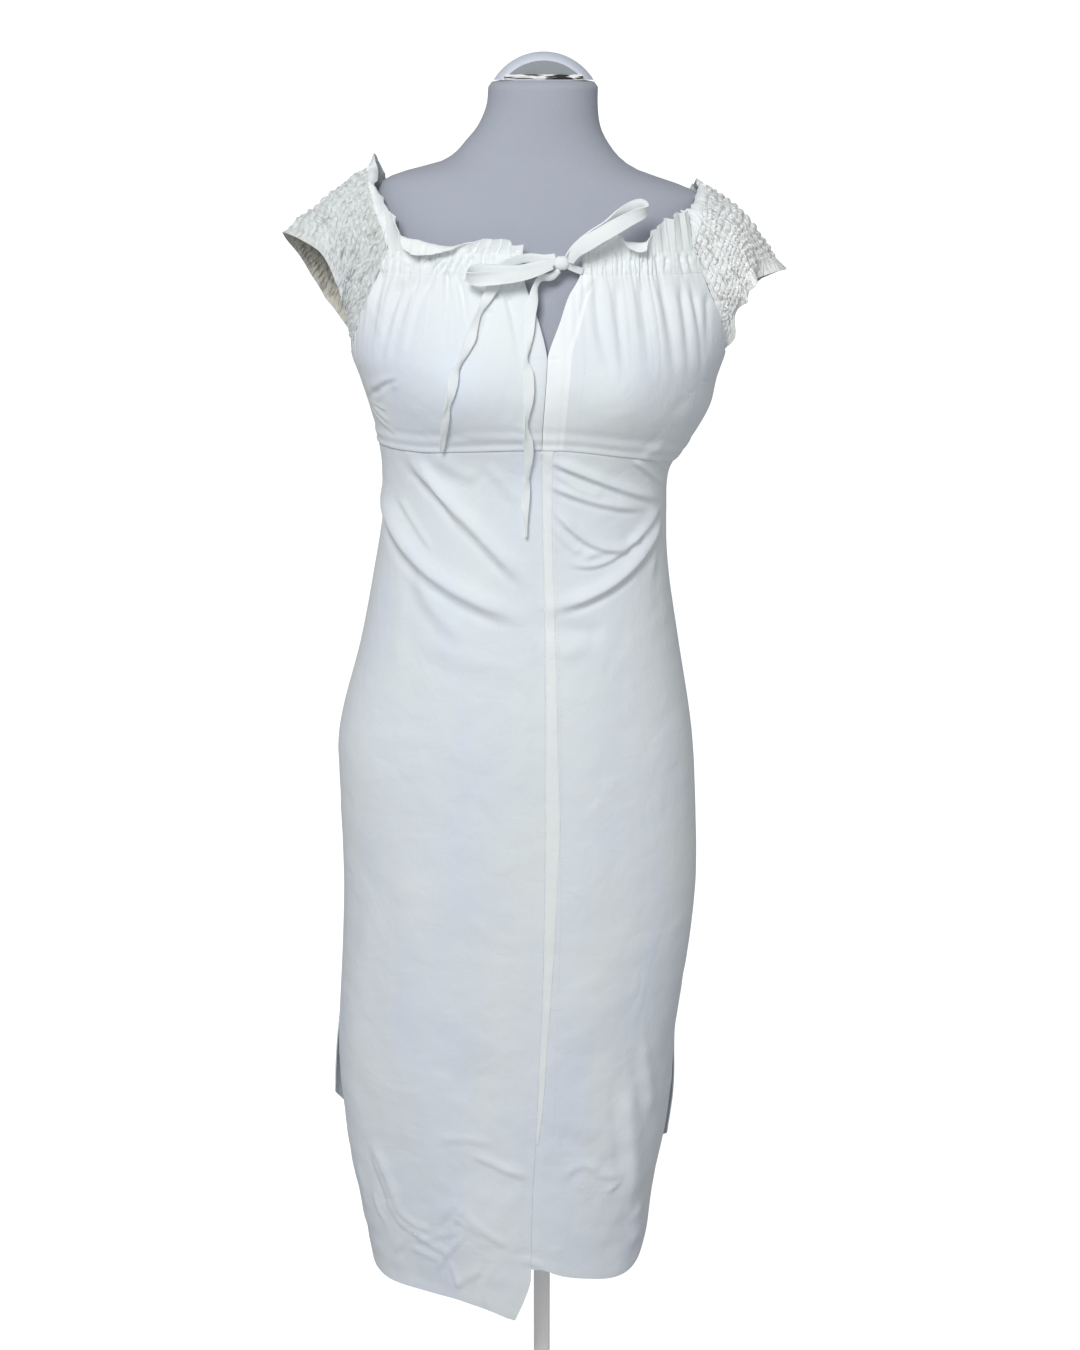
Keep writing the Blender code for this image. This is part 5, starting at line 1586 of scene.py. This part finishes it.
# Sleeve tones of the same cloth: the left sleeve's are darker as painted shade, the right sleeve's
# lighter as painted light.
LEFT_SLEEVE_PAINTED_SHADE = ((0.730, 0.770, 0.765), (0.710, 0.755, 0.785))
RIGHT_SLEEVE_PAINTED_LIGHT = ((0.918, 0.930, 0.930), (0.890, 0.930, 0.930))
# The pale strip of the facing under the cloth, made brighter still as painted light.
PLACKET_STRIP = (0.0155, (0.870, 0.920, 0.930))
THREAD = ((0.70, 0.71, 0.70), (0.66, 0.67, 0.68))
LEFT_MIDDLE = (-0.185, 0.0, 1.370)
RIGHT_MIDDLE = (0.180, 0.0, 1.355)


def cotton(name, lit, shade, strip=None, sleeve_middle=None):
    """Fine matt cotton: painted light and shade in soft random patches of its lit and shade tones,
    the lit cream tone higher up except on the sleeves, a faint weave and small creases.
    """
    shader = Shader(name, roughness=0.88, sheen=0.08)
    # Painted light and shade: the lit and shade tones are blended in soft random patches and
    # bands.
    bands = shader.noise(6.0, 2.0, 0.4, shader.stretched(shader.place, (2.4, 2.4, 0.5)))
    painted_light_mottle = shader.clamped((shader.noise(9.0, 3.0) * 0.5 + bands * 0.7) * 2.4 - 0.95)
    tint = shader.blend(painted_light_mottle, lit, shade)
    # Higher up, except on the sleeves, the cloth turns to the lit cream tone.
    if not sleeve_middle:
        above = shader.part(shader.place, "Z") - CREAM_FROM
        tint = shader.blend(shader.clamped(above * 12.0), tint, LIT_CREAM)
    # A pale strip beside the slit: partly the facing lying under the cloth, partly painted light
    # that brightens it.
    if strip:
        width, pale = strip
        beyond = shader.part(shader.flat, "X") - width
        tint = shader.blend(shader.clamped(beyond * 900.0), pale, tint)
    crease = shader.noise(42.0, 4.0, 0.6) * 0.9 + shader.noise(15.0, 2.0, 1.2) * 1.5
    weave = shader.noise(1400.0, 1.0)
    # On the sleeves, painted shade: the inner side is darkened to a warm grey, and dark strokes
    # darken the creases between the puckers.
    if sleeve_middle:
        away = shader.vector("SUBTRACT", shader.place, sleeve_middle)
        outside = shader.vector("DOT_PRODUCT", shader.facing, away, "Value")
        tint = shader.blend(shader.clamped(outside * -400.0), tint, PAINTED_INSIDE_SHADE)
        stroke = shader.noise(1.0, 2.0, 0.9, shader.stretched(shader.flat, (200, 65, 1)))
        tint = shader.blend(shader.clamped(stroke * -9.0 + 3.9) * 0.7, tint, PAINTED_CREASE_SHADE)
        crease = crease + stroke * 3.2
    shader.colour(tint)
    shader.bump(crease + weave * 0.10, *COTTON_BUMP)
    return shader.material


def two_tone(name, roughness, scale, first, second):
    """A plain surface whose colour wanders a little."""
    shader = Shader(name, roughness=roughness)
    shader.colour(shader.blend(shader.noise(scale, 2.0), first, second))
    return shader.material


white_cotton = cotton("white_cotton", LIT_COTTON, SHADE_COTTON)
placket_cotton = cotton("placket_cotton", LIT_COTTON, SHADE_COTTON, strip=PLACKET_STRIP)
left_shirring_painted_shade = cotton("left_shirring_painted_shade", *LEFT_SLEEVE_PAINTED_SHADE, sleeve_middle=LEFT_MIDDLE)
right_shirring_painted_light = cotton("right_shirring_painted_light", *RIGHT_SLEEVE_PAINTED_LIGHT, sleeve_middle=RIGHT_MIDDLE)
cream_cotton = cotton("cream_cotton", LIT_CREAM, SHADE_CREAM)
thread = cotton("thread", *THREAD)
cap_plastic = two_tone("cap_plastic", 0.45, 30.0, (0.64, 0.69, 0.78), (0.67, 0.72, 0.81))
cap_grey = two_tone("cap_face_grey", 0.5, 20.0, (0.27, 0.30, 0.32), (0.30, 0.33, 0.35))
paint = two_tone("stand_paint", 0.4, 40.0, (0.95, 0.95, 0.96), (0.97, 0.97, 0.97))

jersey = Shader("form_jersey", roughness=0.92, sheen=0.05)
jersey.colour(jersey.blend(jersey.noise(900.0, 1.0), (0.36, 0.39, 0.455), (0.42, 0.45, 0.515)))
jersey.bump(jersey.noise(1100.0, 1.0), 0.0004, 0.3)

chrome = Shader("chrome", roughness=0.12, metallic=1.0)
# Painted reflection: the chrome's colour runs in light and dark streaks.
painted_reflection_streak = chrome.noise(60.0, 1.0) * 2.6 - 0.8
chrome.colour(chrome.blend(painted_reflection_streak, (0.86, 0.86, 0.88), (0.20, 0.20, 0.22)))
trim = Shader("trim_chrome", roughness=0.25, metallic=0.15)
# Painted reflection: the trim's colour runs in bands of near white and near black, as chrome
# mirroring a bright and a dark room.
painted_reflection_bands = trim.noise(1.0, 1.0, 0.6, trim.stretched(trim.place, (55, 20, 420))) * 9.0 - 4.3
trim.colour(trim.blend(trim.clamped(painted_reflection_bands), (0.97, 0.97, 0.98), (0.03, 0.03, 0.03)))

# %% Giving each piece its material
OWN_COTTON = {
    "bodice_front_right": placket_cotton,
    "sleeve_left": left_shirring_painted_shade,
    "sleeve_right": right_shirring_painted_light,
}


def wear(piece, material):
    piece.data.materials.clear()
    piece.data.materials.append(material)


for node, piece in PIECES.items():
    is_tie = node.startswith("tie")
    is_cream = is_tie or "ruffle" in node or node == "front_tape"
    material = OWN_COTTON.get(node, cream_cotton if is_cream else white_cotton)
    wear(piece, material)
for piece in STITCH_ROWS:
    wear(piece, thread)
wear(knot, cream_cotton)
wear(torso, jersey.material)
wear(cap, cap_plastic)
for name, material, slot in (
    ("cap_face", cap_grey, "cap_grey"),
    ("neck_trim", trim.material, "chrome"),
    ("stand_pole", paint, "base_paint"),
    ("stand_collar", chrome.material, "chrome"),
    ("stand_base", paint, "base_paint"),
):
    wear(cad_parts[name], material)

# %% [markdown]
# ## Room and light
#
# A plain pale floor and wall, one large soft light from the front left above, two weaker ones
# from the right and from low down, and a low even light all round.

# %% Stage
WHITE = (1.0, 1.0, 1.0)
STAGE_GLOW = 0.8
EVEN_LIGHT = 0.34
stage = Shader("stage_white", roughness=0.9)
stage.colour((0.90, 0.91, 0.92))
stage.surface.inputs["Emission Color"].default_value = (*WHITE, 1.0)
stage.surface.inputs["Emission Strength"].default_value = STAGE_GLOW


def backdrop(name, place, tilt):
    """A wide plane that is seen but doesn't light the dress."""
    clean_selection()
    bpy.ops.mesh.primitive_plane_add(size=16, location=place, rotation=(tilt, 0, 0))
    piece = bpy.context.object
    piece.name = name
    piece.data.materials.append(stage.material)
    piece.visible_diffuse = False
    piece.visible_glossy = False
    return piece


floor = backdrop("floor", (0, 2.0, -0.0005), 0)
wall = backdrop("wall", (0, 7.0, 1.5), math.pi / 2)


def soft_light(name, place, target, size, power, colour=WHITE):
    direction = Vector(target) - Vector(place)
    turn = direction.to_track_quat("-Z", "Y").to_euler()
    bpy.ops.object.light_add(type="AREA", location=place, rotation=turn)
    light = bpy.context.object
    light.name = name
    light.data.shape = "SQUARE"
    light.data.size = size
    light.data.energy = power
    light.data.color = colour


soft_light("key", (-0.62, -2.20, 2.60), (0, 0, 0.9), 0.9, 45)
soft_light("side fill", (1.70, -1.10, 1.30), (0.1, 0, 1.0), 1.2, 3.2)
soft_light("low fill", (-0.55, -1.90, 0.22), (-0.05, 0, 0.30), 0.5, 2.2, (1.0, 0.99, 0.97))
world = bpy.data.worlds.new("even_light")
bpy.context.scene.world = world
world.use_nodes = True
background = world.node_tree.nodes["Background"]
background.inputs["Color"].default_value = (*WHITE, 1.0)
background.inputs["Strength"].default_value = EVEN_LIGHT
bpy.context.scene.view_settings.view_transform = "Standard"
